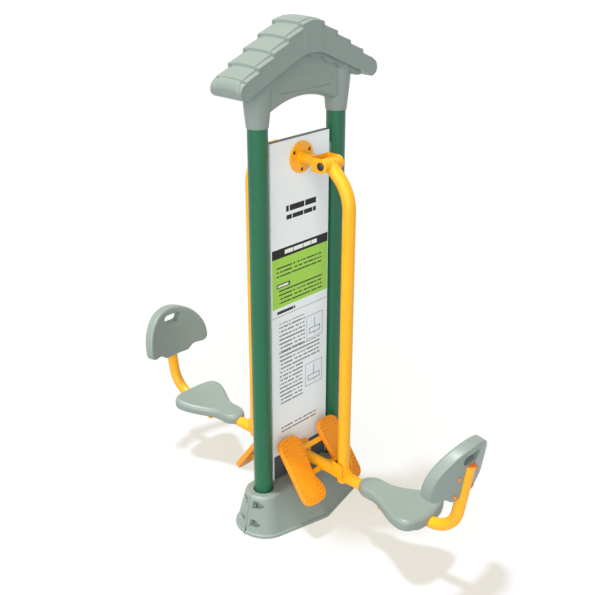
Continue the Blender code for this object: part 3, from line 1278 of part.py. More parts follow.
def main():
    clear_scene()
    green = material("green_post_paint", "2F7A52", 0.42)
    yellow = material("yellow_frame_paint", "FFC02A", 0.38)
    orange = material("orange_footrest_plastic", "FC952B", 0.5)
    grey = material("grey_green_plastic", "A3B0A8", 0.55)
    pale = material("pale_board_lacquer", "D8E3E2", 0.4)
    zinc = material("zinc_plated_steel", "B9BCBE", 0.4, 1.0)
    black_steel = material("blackened_screw_steel", "2B2724", 0.5, 0.8)
    galvanised = material("galvanised_steel", "9EA3A6", 0.5, 1.0)
    bearing_steel = material("bearing_steel", "C8CACC", 0.25, 1.0)
    black_cap = material("black_cap_plastic", "1C1D1E", 0.5)
    rubber = material("black_rubber", "202020", 0.85)

    make_posts(green)
    make_base_plates(galvanised)
    make_base_cover(grey)
    make_cover_bolts(zinc)
    make_board(pale, galvanised)
    make_roof(grey)
    make_roof_screws(zinc)

    still = [("hanger", make_hanger(), yellow), ("pivot_bolt", make_pivot_bolt(), zinc),
             ("footrest_frame", make_footrest_frame(), yellow), ("arm_bumper", make_bumper(), rubber),
             ("near_footrest", make_pedal(-1), orange), ("far_footrest", make_pedal(1), orange)]
    still += named_row("pivot_cap", ("near", "far"), make_pivot_caps(), black_cap)
    screws = flange_bolts(PIVOT_HEIGHT, socket_screw)
    still += named_row("hanger_bolt", ("far", "near", "lower"), screws, black_steel)
    swinging = [("swing_arm", make_swing_arm(), yellow), ("seat", make_seat(), grey),
                ("backrest", make_backrest(), grey)]
    swinging += named_row("bearing", ("near", "far"), make_bearings(), bearing_steel)
    corners = ("far_lower", "far_upper", "near_lower", "near_upper")
    swinging += named_row("backrest_bolt", corners, make_back_bolts(), orange)
    pivot = (0.0, -PIVOT_REACH, PIVOT_HEIGHT)
    for side, turn in SIDES:
        base = anchor(side + "_side", (0.0, 0.0, 0.0), turn)
        axis = anchor(side + "_swing_axis", pivot, 0.0, base)
        for name, mesh, mat in still:
            place(node_name(side, name, turn), mesh, mat, base)
        for name, mesh, mat in swinging:
            place(node_name(side, name, turn), mesh, mat, axis, pivot)


main()
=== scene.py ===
"""Outdoor double leg press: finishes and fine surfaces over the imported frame.

Lengths are in metres. X runs from the near post to the far post, the front
seat lies towards -Y and Z is up. Each rear piece is its front piece turned
half round about Z.
"""
import json
from math import acos, ceil, cos, pi, radians, sin, tan

import bpy
import numpy as np
from mathutils import Matrix, Vector


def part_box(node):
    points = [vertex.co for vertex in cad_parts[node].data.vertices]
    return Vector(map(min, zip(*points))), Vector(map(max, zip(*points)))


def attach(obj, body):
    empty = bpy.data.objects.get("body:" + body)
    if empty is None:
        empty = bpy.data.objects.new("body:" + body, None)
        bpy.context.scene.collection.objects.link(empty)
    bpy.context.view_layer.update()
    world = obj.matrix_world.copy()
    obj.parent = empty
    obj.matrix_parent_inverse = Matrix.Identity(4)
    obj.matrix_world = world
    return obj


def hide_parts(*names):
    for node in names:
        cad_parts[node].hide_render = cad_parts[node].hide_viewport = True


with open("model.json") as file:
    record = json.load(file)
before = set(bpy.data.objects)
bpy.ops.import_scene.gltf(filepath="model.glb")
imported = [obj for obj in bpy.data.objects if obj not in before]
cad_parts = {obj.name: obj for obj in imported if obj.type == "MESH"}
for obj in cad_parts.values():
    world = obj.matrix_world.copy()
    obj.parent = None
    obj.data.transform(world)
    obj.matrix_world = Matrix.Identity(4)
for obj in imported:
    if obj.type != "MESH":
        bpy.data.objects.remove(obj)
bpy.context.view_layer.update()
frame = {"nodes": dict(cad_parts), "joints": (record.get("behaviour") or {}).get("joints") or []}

# Sizes read from the frame
POST_LOW, POST_HIGH = (np.array(corner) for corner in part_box("far_post"))
POST_X = (POST_LOW[0] + POST_HIGH[0]) / 2
POST_R = (POST_HIGH[0] - POST_LOW[0]) / 2
BOARD_LOW, BOARD_HIGH = (np.array(corner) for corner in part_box("front_board_sheet"))
COVER_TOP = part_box("front_base_cover")[1][2]
ROOF_LOW, ROOF_HIGH = (np.array(corner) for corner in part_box("roof"))
JOINTS = {joint["name"]: joint for joint in frame["joints"]}
PIVOT_Y, PIVOT_Z = JOINTS["front_swing"]["pos_m"][1:]
SIDES = (("front", 0.0), ("rear", pi))
SWAPPED = {"near": "far", "far": "near"}

# Flanges, hanger and arm
FLANGE_BACK_Y, FLANGE_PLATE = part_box("front_hanger")[1][1], 0.010
FLANGE_FACE_Y = FLANGE_BACK_Y - FLANGE_PLATE
FLANGE_R = 0.0725
FLANGE_BOLT_CIRCLE = 0.056
SCREW_OUT = 0.0062
BOLT_HEAD = (0.0145, 0.0055)
FLANGE_WELD, ARM_WELD, SEAT_WELD = 0.0035, 0.0030, 0.0028
STUB_R = 0.027
FORK_HALF = 0.0585
FORK_PLATE = 0.006
FORK_BACK_Y = -0.136
FORK_R = 0.032
BARREL_HALF = 0.0515
TUBE_R = 0.030
TUBE_BEND_R = 0.200
TUBE_LEAN = radians(48)
ARM_Y = -0.308
SEAT_TUBE_R = 0.0285
SEAT_TUBE_Z = 0.299
SEAT_TUBE_BEND_R = 0.150
BACK_LEAN = radians(8.6)
SEAT_TUBE_TOP = 0.697
TUBE_CLEARANCE, MOUTH_GAP = 0.0008, 0.0003
CHANNEL_END_Y, CHANNEL_START_Z = -0.95, 0.42
GUSSET_REACH = 0.045
EAR_YS, EAR_BOLT_X = (-0.600, -0.740), 0.062

# Seat and backrest
SEAT_NOSE, SEAT_REAR = 0.424, 0.846
SEAT_NOSE_HALF, SEAT_REAR_HALF = 0.060, 0.153
SEAT_LOW, SEAT_TOP = 0.290, 0.342
SEAT_FOOT_R, SEAT_EDGE_R = 0.013, 0.025
SEAT_REAR_RISE, SEAT_DISH = 0.016, 0.010
BACK_FACE = Vector((0.0, -1.020, 0.642))
BACK_R, WING_R = 0.200, 0.034
BACK_THICKNESS = 0.060
BACK_BOW = 0.048
BACK_BOLT_X = 0.064
BACK_BOLTS = [(x, z) for x in (-BACK_BOLT_X, BACK_BOLT_X) for z in (0.543, 0.642)]
BACK_CROWN = 0.003
BACK_FOOT_R, BACK_EDGE_R = 0.006, 0.015
SLOT_HALF_WIDTH, SLOT_HALF_HEIGHT, SLOT_Z = 0.056, 0.024, 0.731

# Footrests
STOP_Z = 0.3095
PEDAL_LENGTH, PEDAL_THICKNESS, PEDAL_EDGE_R = 0.344, 0.028, 0.004
PEDAL_TOP = Vector((0.0, -0.0637, 0.4685))
PEDAL_LEAN = radians(36.4)
PEDAL_X = 0.139
PEDAL_BARS = (0.081, 0.209)
STUB_END = -0.264
CRADLE_HALF, CRADLE_PLATE = 0.040, 0.006
CRADLE_TIP, CRADLE_BACK = -0.330, -0.265
CRADLE_LOW, CRADLE_HIGH, CRADLE_ROUND = 0.302, 0.383, 0.016

# Colours of the real finishes
POST_GREEN = "10613F"
FRAME_YELLOW = "FFB20A"
PEDAL_ORANGE = "FF9A08"
CAP_ORANGE = "F0821A"
HOUSING_GREY = "87948C"
BOARD_PALE = "F0F8F8"

# Screen print on the board: ink, lower and upper level, left and right end; paler inks lie on darker ones
PRINTED_ZONES = (
    ("A6DB52", 1.159, 1.4065, -0.187, 0.187),
    ("12140F", 1.4065, 1.452, -0.187, 0.187),
    ("20251E", 1.258, 1.279, -0.158, -0.070),
    ("5B625C", 1.1130, 1.1152, -0.187, 0.187),
    ("3E494E", 0.200, 0.357, -0.187, 0.187),
    ("8B918F", 0.928, 1.053, 0.044, 0.158),
    ("EEF6FA", 0.931, 1.050, 0.047, 0.155),
    ("5A605E", 0.945, 1.035, 0.099, 0.103),
    ("5A605E", 0.955, 0.985, 0.062, 0.140),
    ("EEF6FA", 0.959, 0.981, 0.066, 0.136),
    ("8B918F", 0.669, 0.794, 0.036, 0.158),
    ("EEF6FA", 0.672, 0.791, 0.039, 0.155),
    ("5A605E", 0.686, 0.776, 0.095, 0.099),
    ("5A605E", 0.696, 0.726, 0.054, 0.140),
    ("EEF6FA", 0.700, 0.722, 0.058, 0.136),
)
# Rows of bars: ink, levels, ends, pitch, bar height and word length in mm
PRINTED_ROWS = (
    ("15180F", 1.6195, 1.6485, -0.094, 0.104, 0.040, 0.0280, 46.0),
    ("15180F", 1.581, 1.604, -0.092, 0.103, 0.040, 0.0215, 34.0),
    ("F4F7F0", 1.4195, 1.440, -0.104, 0.112, 0.040, 0.0200, 30.0),
    ("F4F7F0", 1.2625, 1.2745, -0.152, -0.076, 0.040, 0.0110, 14.0),
    ("30382A", 1.314, 1.366, -0.158, 0.144, 0.0205, 0.0072, 11.0),
    ("30382A", 1.178, 1.250, -0.144, 0.150, 0.0205, 0.0072, 11.0),
    ("22261F", 1.127, 1.143, -0.158, -0.036, 0.040, 0.0150, 30.0),
    ("676D6B", 0.922, 1.076, -0.144, 0.032, 0.0214, 0.0072, 11.0),
    ("676D6B", 0.832, 0.922, -0.144, 0.138, 0.0214, 0.0072, 11.0),
    ("676D6B", 0.640, 0.832, -0.144, 0.018, 0.0214, 0.0072, 11.0),
    ("676D6B", 0.479, 0.511, -0.136, 0.120, 0.0210, 0.0072, 11.0),
)

# Noise level above which a bar shows, and the noise shift from row to row
WORD_GAP_LEVEL, ROW_SHIFT = 0.37, 7.31

# Studio paper, linear: what the lamps light, and its own glow
FLOOR_LIT = (0.235, 0.27, 0.35)
FLOOR_GLOW = (0.66, 0.61, 0.49)


def linear(hex_text):
    """sRGB hex to linear red, green, blue and alpha."""
    part = np.array([int(hex_text[i:i + 2], 16) / 255 for i in (0, 2, 4)])
    return (*np.where(part <= 0.04045, part / 12.92, ((part + 0.055) / 1.055) ** 2.4), 1.0)


def add(tree, kind, inputs=None, **settings):
    """Add a shader node, set its properties, and set or link its inputs."""
    node = tree.nodes.new(kind)
    for key, value in settings.items():
        setattr(node, key, value)
    for key, value in (inputs or {}).items():
        if isinstance(value, bpy.types.NodeSocket):
            tree.links.new(value, node.inputs[key])
        else:
            node.inputs[key].default_value = value
    return node


def maths(tree, operation, *values):
    """One arithmetic step on numbers or sockets."""
    node = tree.nodes.new("ShaderNodeMath")
    node.operation = operation
    for socket, value in zip(node.inputs, values):
        if isinstance(value, bpy.types.NodeSocket):
            tree.links.new(value, socket)
        else:
            socket.default_value = value
    return node.outputs[0]


def new_material(name):
    """A material with its node tree and its shader."""
    mat = bpy.data.materials.new(name)
    mat.use_nodes = True
    return mat, mat.node_tree, mat.node_tree.nodes["Principled BSDF"]


def linked(name, data):
    """A new object in the scene."""
    item = bpy.data.objects.new(name, data)
    bpy.context.scene.collection.objects.link(item)
    return item


def finish_of(name, hex_text, roughness, grain_mm, bump_mm, mottle, mottle_mm, **settings):
    """A finish whose colour and gloss drift slowly and whose grain is a fine bump.

    Colour is mixed by a low noise of the mottle's size between a darker and a
    lighter shade; the bump is a noise of the grain's size.
    """
    mat, tree, shader = new_material(name)
    place = add(tree, "ShaderNodeTexCoord").outputs["Object"]
    drift = add(tree, "ShaderNodeTexNoise", {"Vector": place, "Scale": 1000 / mottle_mm, "Detail": 3.0})
    base = np.array(linear(hex_text))
    low, high = base * (1 - mottle), np.minimum(base * (1 + mottle), 1.0)
    low[3] = high[3] = 1.0
    tint = add(tree, "ShaderNodeMix", {"Factor": drift.outputs["Fac"]}, data_type="RGBA")
    tint.inputs[6].default_value, tint.inputs[7].default_value = tuple(low), tuple(high)
    tree.links.new(tint.outputs[2], shader.inputs["Base Color"])
    gloss = add(tree, "ShaderNodeMapRange", {"Value": drift.outputs["Fac"], "From Min": 0.3, "From Max": 0.7,
                                             "To Min": roughness * 0.92, "To Max": min(roughness * 1.1, 1.0)})
    tree.links.new(gloss.outputs[0], shader.inputs["Roughness"])
    grain = add(tree, "ShaderNodeTexNoise", {"Vector": place, "Scale": 1000 / grain_mm, "Detail": 2.0})
    bump = add(tree, "ShaderNodeBump", {"Height": grain.outputs["Fac"], "Distance": bump_mm / 1000})
    tree.links.new(bump.outputs["Normal"], shader.inputs["Normal"])
    for key, value in settings.items():
        shader.inputs[key.replace("_", " ")].default_value = value
    return mat


def in_band(tree, value, low, high):
    """One where a value lies between two limits, else zero."""
    above, below = maths(tree, "GREATER_THAN", value, low), maths(tree, "LESS_THAN", value, high)
    return maths(tree, "MULTIPLY", above, below)


def printed_rows(tree, x, z, ink):
    """Rows of short bars: a row is a band of each pitch, cut into bars by a noise along the row."""
    low, high, left, right, pitch, height, word_mm = ink
    row = maths(tree, "DIVIDE", maths(tree, "SUBTRACT", z, low), pitch)
    in_row = maths(tree, "LESS_THAN", maths(tree, "FRACT", row), height / pitch)
    along = maths(tree, "MULTIPLY", x, 1000 / word_mm)
    shift = maths(tree, "MULTIPLY", maths(tree, "FLOOR", row), ROW_SHIFT)
    spot = add(tree, "ShaderNodeCombineXYZ", {"X": along, "Y": shift})
    words = add(tree, "ShaderNodeTexNoise", {"Vector": spot.outputs[0], "Scale": 1.0, "Detail": 0.0})
    shown = maths(tree, "GREATER_THAN", words.outputs["Fac"], WORD_GAP_LEVEL)
    inside = maths(tree, "MULTIPLY", in_band(tree, z, low, high), in_band(tree, x, left, right))
    return maths(tree, "MULTIPLY", maths(tree, "MULTIPLY", in_row, shown), inside)


def board_finish(name, across):
    """Satin lacquered sheet steel with a screen print: flat ink zones and rows of bars, no lettering, and a
    dark line of painted shade along the top edge, under the roof.

    across is 1 or -1, so that each side's print reads from its own left.
    """
    mat = finish_of(name, BOARD_PALE, 0.34, 2.2, 0.012, 0.015, 180.0, Specular_IOR_Level=0.25)
    tree = mat.node_tree
    shader = tree.nodes["Principled BSDF"]
    place = add(tree, "ShaderNodeTexCoord").outputs["Object"]
    split = add(tree, "ShaderNodeSeparateXYZ", {"Vector": place})
    x = maths(tree, "MULTIPLY", split.outputs["X"], across)
    y = maths(tree, "MULTIPLY", split.outputs["Y"], across)
    z = split.outputs["Z"]
    face = maths(tree, "LESS_THAN", y, BOARD_LOW[1] + 0.0005)
    colour = shader.inputs["Base Color"].links[0].from_socket
    for ink, low, high, left, right in PRINTED_ZONES:
        mask = maths(tree, "MULTIPLY", in_band(tree, z, low, high), in_band(tree, x, left, right))
        colour = print_or_shade_over(tree, colour, ink, maths(tree, "MULTIPLY", mask, face))
    for ink, *row in PRINTED_ROWS:
        colour = print_or_shade_over(tree, colour, ink, maths(tree, "MULTIPLY", printed_rows(tree, x, z, row), face))
    # painted shade: the top 1.2 mm of the tray, its top face included, is coloured dark grey for the roof's
    # shade over it
    edge = maths(tree, "GREATER_THAN", z, BOARD_HIGH[2] - 0.0012)
    tree.links.new(print_or_shade_over(tree, colour, "5A605E", edge), shader.inputs["Base Color"])
    return mat


def print_or_shade_over(tree, under, ink, mask):
    """Lay an ink, or a painted shade, over a colour where the mask is one."""
    mix = add(tree, "ShaderNodeMix", data_type="RGBA")
    tree.links.new(mask, mix.inputs[0])
    tree.links.new(under, mix.inputs[6])
    mix.inputs[7].default_value = linear(ink)
    return mix.outputs[2]


def shell(points, wrap_u=False, wrap_v=False):
    """A closed surface over a two-parameter grid of points, as (points, faces).

    Neighbouring points of the grid make quads; a direction that wraps joins
    its last row to its first, and the open ends of u get one flat face each.
    """
    points = np.asarray(points, float)
    rows, columns = points.shape[:2]
    index = np.arange(rows * columns).reshape(rows, columns)
    if wrap_u:
        index = np.vstack([index, index[:1]])
    if wrap_v:
        index = np.hstack([index, index[:, :1]])
    quads = np.stack([index[:-1, :-1], index[1:, :-1], index[1:, 1:], index[:-1, 1:]], axis=-1)
    quads = quads.reshape(-1, 4)
    flat = points.reshape(-1, 3)
    faces = quads.tolist()
    if not wrap_u:
        first, last = np.arange(columns), np.arange(columns) + (rows - 1) * columns
        faces += [first[::-1].tolist(), last.tolist()]
    if volume(flat, faces) < 0:
        faces = [face[::-1] for face in faces]
    return flat, faces


def volume(points, faces):
    """Signed volume: the sum of the tetrahedra from the origin to every face's triangles."""
    quads = np.array([f for f in faces if len(f) == 4], int).reshape(-1, 4)
    tris = [quads[:, [0, 1, 2]], quads[:, [0, 2, 3]]]
    tris += [np.array([(f[0], f[i], f[i + 1]) for i in range(1, len(f) - 1)]) for f in faces if len(f) != 4]
    corner = points[np.vstack(tris)]
    return float(np.einsum("ij,ij->i", corner[:, 0], np.cross(corner[:, 1], corner[:, 2])).sum()) / 6


def moved(item, matrix):
    """A shell carried by a rotation and a shift."""
    points, faces = item
    m = np.array(matrix)
    return points @ m[:3, :3].T + m[:3, 3], faces


def mesh_from(shells):
    """One mesh from several shells."""
    verts, faces, start = [], [], 0
    for points, own in shells:
        verts.append(points)
        faces += [[i + start for i in face] for face in own]
        start += len(points)
    mesh = bpy.data.meshes.new("surface")
    mesh.from_pydata(np.vstack(verts).tolist(), [], faces)
    mesh.update()
    return mesh


def carved(mesh, cutters):
    """A mesh less each cutter, with the result applied."""
    work = linked("work", mesh)
    helpers = []
    for cutter in cutters:
        helper = linked("cutter", mesh_from([cutter]))
        step = work.modifiers.new("cut", "BOOLEAN")
        step.operation, step.solver, step.object = "DIFFERENCE", "EXACT", helper
        helpers.append(helper)
    bpy.context.view_layer.update()
    result = bpy.data.meshes.new_from_object(work.evaluated_get(bpy.context.evaluated_depsgraph_get()))
    for item in [work] + helpers:
        bpy.data.objects.remove(item, do_unlink=True)
    return result


def add_piece(name, shells, material, body, nodes, slot, cutters=(), smooth=38, turn=None):
    """A named piece of the machine: its mesh, finish, body, and the frame nodes that it stands for."""
    mesh = mesh_from(shells)
    if cutters:
        mesh = carved(mesh, cutters)
    if turn:
        mesh.transform(turn)
    mesh.materials.clear()
    mesh.materials.append(material)
    mesh.shade_smooth()
    mesh.set_sharp_from_angle(angle=radians(smooth))
    piece = linked(name, mesh)
    if nodes:
        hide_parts(*nodes)
    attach(piece, body)


def both_sides(name, shells, material, body, nodes, slot, cutters=(), **settings):
    """The front piece, and the same turned half round about Z for the rear."""
    for side, angle in SIDES:
        add_piece(side_name(side, name), shells, material[side] if isinstance(material, dict) else material,
                  body if body == "frame" else side + "_arm", [side_name(side, node) for node in nodes],
                  slot, cutters, turn=Matrix.Rotation(angle, 4, "Z"), **settings)


def side_name(side, name):
    """Name with its side; turned half round, near becomes far."""
    words = name.split("_")
    if side == "rear":
        words = [SWAPPED.get(word, word) for word in words]
    return "_".join([side] + words)


def bend(corners, radii, steps=14, closed=False):
    """A line through corners with each one rounded.

    A corner becomes an arc tangent to both its sides: it starts at
    radius * tan(half the turn) before the corner.
    """
    corners = np.asarray(corners, float)
    count = len(corners)
    out = []
    for i in range(count):
        if not closed and i in (0, count - 1) or radii[i] == 0:
            out.append(corners[i][None])
            continue
        back = corners[i - 1] - corners[i]
        ahead = corners[(i + 1) % count] - corners[i]
        back, ahead = back / np.linalg.norm(back), ahead / np.linalg.norm(ahead)
        half = acos(np.clip(np.dot(back, ahead), -1, 1)) / 2
        reach = radii[i] / tan(half)
        middle = back + ahead
        centre = corners[i] + middle / np.linalg.norm(middle) * radii[i] / sin(half)
        start, end = corners[i] + back * reach - centre, corners[i] + ahead * reach - centre
        share = np.linspace(0, 1, steps + 1)[:, None]
        angle = pi - 2 * half
        arc = (np.sin((1 - share) * angle) * start + np.sin(share * angle) * end) / sin(angle)
        out.append(centre + arc)
    return np.vstack(out)


def spaced(path, step):
    """Points along a line no further apart than a step, the line's own points kept."""
    pieces = []
    for a, b in zip(path[:-1], path[1:]):
        count = max(1, int(ceil(np.linalg.norm(b - a) / step)))
        pieces.append(a + (b - a) * np.linspace(0, 1, count, endpoint=False)[:, None])
    return np.vstack(pieces + [path[-1:]])


def ring(radius, facets):
    """Points of a circle."""
    turn = np.arange(facets) * 2 * pi / facets
    return np.stack([radius * np.cos(turn), radius * np.sin(turn)], axis=1)


def on_circle(x, y, radius, turn):
    """Points of a circle about a centre at the given turns."""
    return np.stack([x + radius * np.cos(turn), y + radius * np.sin(turn)], axis=1)


def quarter(count):
    """Angles of a quarter turn."""
    return np.linspace(0, pi / 2, count)


def rounded_ends(path, radius, ease):
    """A line and its radii, with both ends drawn in by a quarter circle."""
    turn = quarter(6)
    drawn, step = radius - ease * (1 - np.sin(turn)), ease * (1 - np.cos(turn))
    first, last = path[1] - path[0], path[-2] - path[-1]
    head = path[0] + first / np.linalg.norm(first) * step[:, None]
    tail = path[-1] + last / np.linalg.norm(last) * step[::-1, None]
    middle = path[1:-1]
    return np.vstack([head, middle, tail]), np.concatenate([drawn, np.full(len(middle), radius), drawn[::-1]])


def tube(path, tangent, radii, reference, facets, closed):
    """Circles square to a line, one axis along the reference less its part along the line."""
    tangent = tangent / np.linalg.norm(tangent, axis=1)[:, None]
    reference = np.broadcast_to(np.asarray(reference, float), path.shape)
    across = reference - tangent * np.sum(reference * tangent, axis=1)[:, None]
    across /= np.linalg.norm(across, axis=1)[:, None]
    up = np.cross(tangent, across)
    circle = ring(1.0, facets)
    spokes = circle[None, :, :1] * across[:, None] + circle[None, :, 1:] * up[:, None]
    return shell(path[:, None] + radii[:, None, None] * spokes, wrap_u=closed, wrap_v=True)


def sweep(path, radius, facets=48, ease=0.0):
    """A round bar along a line in space; ease rounds its two ends."""
    path = np.asarray(path, float)
    radii = np.full(len(path), radius)
    if ease:
        path, radii = rounded_ends(path, radius, ease)
    return tube(path, np.gradient(path, axis=0), radii, (1.0, 0.0, 0.0), facets, False)


def lathe(profile, facets=64, closed=False):
    """A solid of revolution about Z from rows of radius and level; a closed profile makes a ring."""
    profile = np.asarray(profile, float)
    circle = ring(1.0, facets)
    points = np.empty((len(profile), facets, 3))
    points[..., :2] = profile[:, None, :1] * circle[None]
    points[..., 2] = profile[:, None, 1]
    return shell(points, wrap_u=closed, wrap_v=True)


def disc(radius, low, high, edge, facets=64):
    """A short cylinder along Z with both rims rounded."""
    turn = quarter(6)
    lower = np.stack([radius - edge * (1 - np.sin(turn)), low + edge * (1 - np.cos(turn))], axis=1)
    upper = np.stack([radius - edge * (1 - np.cos(turn)), high - edge * (1 - np.sin(turn))], axis=1)
    return lathe(np.vstack([lower, upper]), facets)


def slab(outline, low, high, edge, steps=4):
    """An outline in X and Y carried along Z, its two rims rounded by shrinking it along its normals."""
    turn = quarter(steps + 1)
    insets = np.concatenate([edge * (1 - np.sin(turn)), edge * (1 - np.cos(turn))])
    levels = np.concatenate([low + edge * (1 - np.cos(turn)), high - edge * (1 - np.sin(turn))])
    rings = [np.column_stack([inset(outline, amount), np.full(len(outline), level)])
             for amount, level in zip(insets, levels)]
    return shell(np.stack(rings), wrap_v=True)


def oblong(half_x, half_y, radius, steps=8, centre=(0.0, 0.0)):
    """A rectangle with round corners, anticlockwise."""
    corners = [(half_x, -half_y), (half_x, half_y), (-half_x, half_y), (-half_x, -half_y)]
    return bend(np.array(corners) + np.array(centre), [radius] * 4, steps, closed=True)


def strap(path, lows, highs, thickness, edge=0.0012):
    """A flat bar bent along a line in plan.

    Its lower and upper levels are given for every point. Each corner of the
    section is its own quarter circle about a centre drawn in by the edge.
    """
    path = np.asarray(path, float)
    tangent = np.gradient(path, axis=0)
    tangent /= np.linalg.norm(tangent, axis=1)[:, None]
    side = np.stack([tangent[:, 1], -tangent[:, 0]], axis=1)
    turn = quarter(4)[None] + np.arange(4)[:, None] * pi / 2
    signs = np.array([(1, 1), (-1, 1), (-1, -1), (1, -1)])
    out = (signs[:, :1] * (thickness / 2 - edge) + edge * np.cos(turn)).ravel()
    up_sign = np.repeat(signs[:, 1], 4)
    span = np.maximum((highs - lows) / 2, edge)[:, None]
    points = np.empty((len(path), len(out), 3))
    points[..., :2] = path[:, None] + side[:, None] * out[None, :, None]
    points[..., 2] = (highs + lows)[:, None] / 2 + up_sign * (span - edge) + edge * np.sin(turn).ravel()
    return shell(points, wrap_v=True)


def hexagon_head(across_flats, height, facets=72):
    """A hexagon whose top corners are cut by a cone: radius is the smaller of hexagon and cone."""
    turn = np.arange(facets) * 2 * pi / facets
    flats = across_flats / 2 / np.cos((turn + pi / 6) % (pi / 3) - pi / 6)
    levels = np.array([0.0, 0.78, 0.86, 0.93, 1.0]) * height
    cone = across_flats / 2 * np.array([1.3, 1.155, 1.10, 1.03, 0.94])
    radius = np.minimum(flats[None], cone[:, None])
    rise = np.broadcast_to(levels[:, None], radius.shape)
    return shell(np.stack([radius * np.cos(turn), radius * np.sin(turn), rise], axis=2), wrap_v=True)


def dome(radius, height, facets=40, skirt=0.25):
    """A cap: a short straight skirt, then a quarter ellipse up to its crown."""
    turn = quarter(9)[:-1]
    rows = [(radius, 0.0), (radius * 0.08, height)]
    rows[1:1] = [(radius * cos(t) ** 0.8, height * (skirt + (1 - skirt) * sin(t))) for t in turn]
    return lathe(rows, facets)


ALONG_X = Matrix.Rotation(pi / 2, 4, "Y")
OUT_FRONT = Matrix.Rotation(pi / 2, 4, "X")


def at(x, y, z, turn=Matrix.Identity(4)):
    return Matrix.Translation((x, y, z)) @ turn


def smoothstep(value):
    value = np.clip(value, 0.0, 1.0)
    return value * value * (3 - 2 * value)


def make_posts(paint):
    """Round tube, its ends hidden in the roof's sockets and the base cover."""
    inner, edge = POST_R - 0.0035, 0.0006
    rows = [(inner, POST_LOW[2]), (POST_R - edge, POST_LOW[2]), (POST_R, POST_LOW[2] + edge)]
    rows += [(POST_R, level) for level in np.linspace(POST_LOW[2] + 2 * edge, POST_HIGH[2] - 2 * edge, 40)]
    rows += [(POST_R, POST_HIGH[2] - edge), (POST_R - edge, POST_HIGH[2]), (inner, POST_HIGH[2])]
    for end, x in (("near", -POST_X), ("far", POST_X)):
        pipe = moved(lathe(rows, 96, closed=True), at(x, 0.0, 0.0))
        add_piece(end + "_post_tube", [pipe], paint, "frame", [end + "_post"], "green_post_paint")


COVER_TOP_R, COVER_FOOT_R = 0.087, 0.1405
COVER_END_FLATTENING = 0.08
COVER_SIDE_TURN = radians(13.3)
COVER_BELLY_R = 0.09
COVER_EDGE, COVER_LIP, COVER_RIB, COVER_SEAM = 0.013, 0.0065, 0.003, 0.0008
COVER_POST_GAP = 0.0045
POCKETS = (0.161, 0.063)


def down_cover(level):
    """Nought at the top of the base cover and one at its foot."""
    return (COVER_TOP - level) / COVER_TOP


def cover_radius(level):
    return COVER_TOP_R + (COVER_FOOT_R - COVER_TOP_R) * down_cover(level)


def cover_half(level, grow=0.0, rib=COVER_RIB):
    """Half outline of the base cover at a level, from the +X tip through -Y to the -X tip.

    Each end is an arc about its post, a little flattened towards the tip. A
    straight side leaves it at the side turn, which grows from none at the top
    to its full value at the foot, and a wider arc joins the two sides in the
    middle. Beside the seam the outline stands out by a rib.
    """
    radius = cover_radius(level) + grow
    slope = COVER_SIDE_TURN * down_cover(level) + 1e-4
    flat = COVER_END_FLATTENING * down_cover(level)
    reach = (radius + POST_X * sin(slope)) / cos(slope)
    centre = reach - COVER_BELLY_R / cos(slope)
    turn = np.linspace(0, pi / 2 - slope, 60)
    end = np.stack([POST_X + radius * np.cos(turn) * (1 - flat), -radius * np.sin(turn)], axis=1)
    end[:, 0] += flat * radius * sin(slope) * np.sin(turn)
    turn = np.linspace(slope, 0, 16)
    arc = np.stack([COVER_BELLY_R * np.sin(turn), -centre - COVER_BELLY_R * np.cos(turn)], axis=1)
    side = end[-1] + (arc[0] - end[-1]) * np.linspace(0, 1, 24)[1:-1, None]
    line = np.vstack([end, side, arc])
    line = np.vstack([line, line[-2::-1] * np.array([-1, 1])])
    line[:, 0] += np.sign(line[:, 0]) * rib * smoothstep((0.013 - np.abs(line[:, 1])) / 0.004)
    return np.column_stack([line, np.full(len(line), level)])


def make_base_cover(plastic):
    """Half shell with a rounded shoulder, a belly, a foot lip and a rib along its seam; closed below."""
    top = COVER_TOP
    shoulder, foot = cover_half(top, -COVER_EDGE, 0.0), cover_half(0.0, COVER_LIP)
    inward = np.array([1.0, 0.0, 1.0])
    rings = [shoulder * (inward + [0, share, 0]) for share in (0.0, 0.35, 0.7, 0.9)]
    for t in np.linspace(pi / 2, 0, 9):
        rings.append(cover_half(top - COVER_EDGE * (1 - sin(t)), COVER_EDGE * (cos(t) - 1),
                                COVER_RIB * cos(t)))
    rings += [cover_half(level) for level in np.linspace(top - COVER_EDGE, 0.017, 26)[1:]]
    rings += [cover_half(0.0145 - 0.0035 * sin(t), COVER_LIP * (1 - cos(t)) + 0.0006 * sin(t))
              for t in np.linspace(0.3, pi / 2, 5)]
    rings += [cover_half(level, COVER_LIP) for level in (0.008, 0.004)]
    rings += [foot * (inward + [0, share, 0]) for share in (1.0, 0.6, 0.0)]
    points = np.stack(rings)
    points[..., 1] -= COVER_SEAM
    half = shell(np.transpose(points, (1, 0, 2)), wrap_v=True)
    rows = ((COVER_POST_GAP, 0.1), (COVER_POST_GAP, top - 0.003), (0.0055, top - 0.001), (0.009, top + 0.01))
    bore = lathe([(POST_R + gap, level) for gap, level in rows], 96)
    cutters = [moved(bore, at(sx * POST_X, 0.0, 0.0)) for sx in (-1, 1)]
    cutters += [pocket(sx, level) for sx in (-1, 1) for level in POCKETS]
    both_sides("base_cover_shell", [half], plastic, "frame", ["base_cover"], "grey_green_plastic", cutters,
               smooth=42)


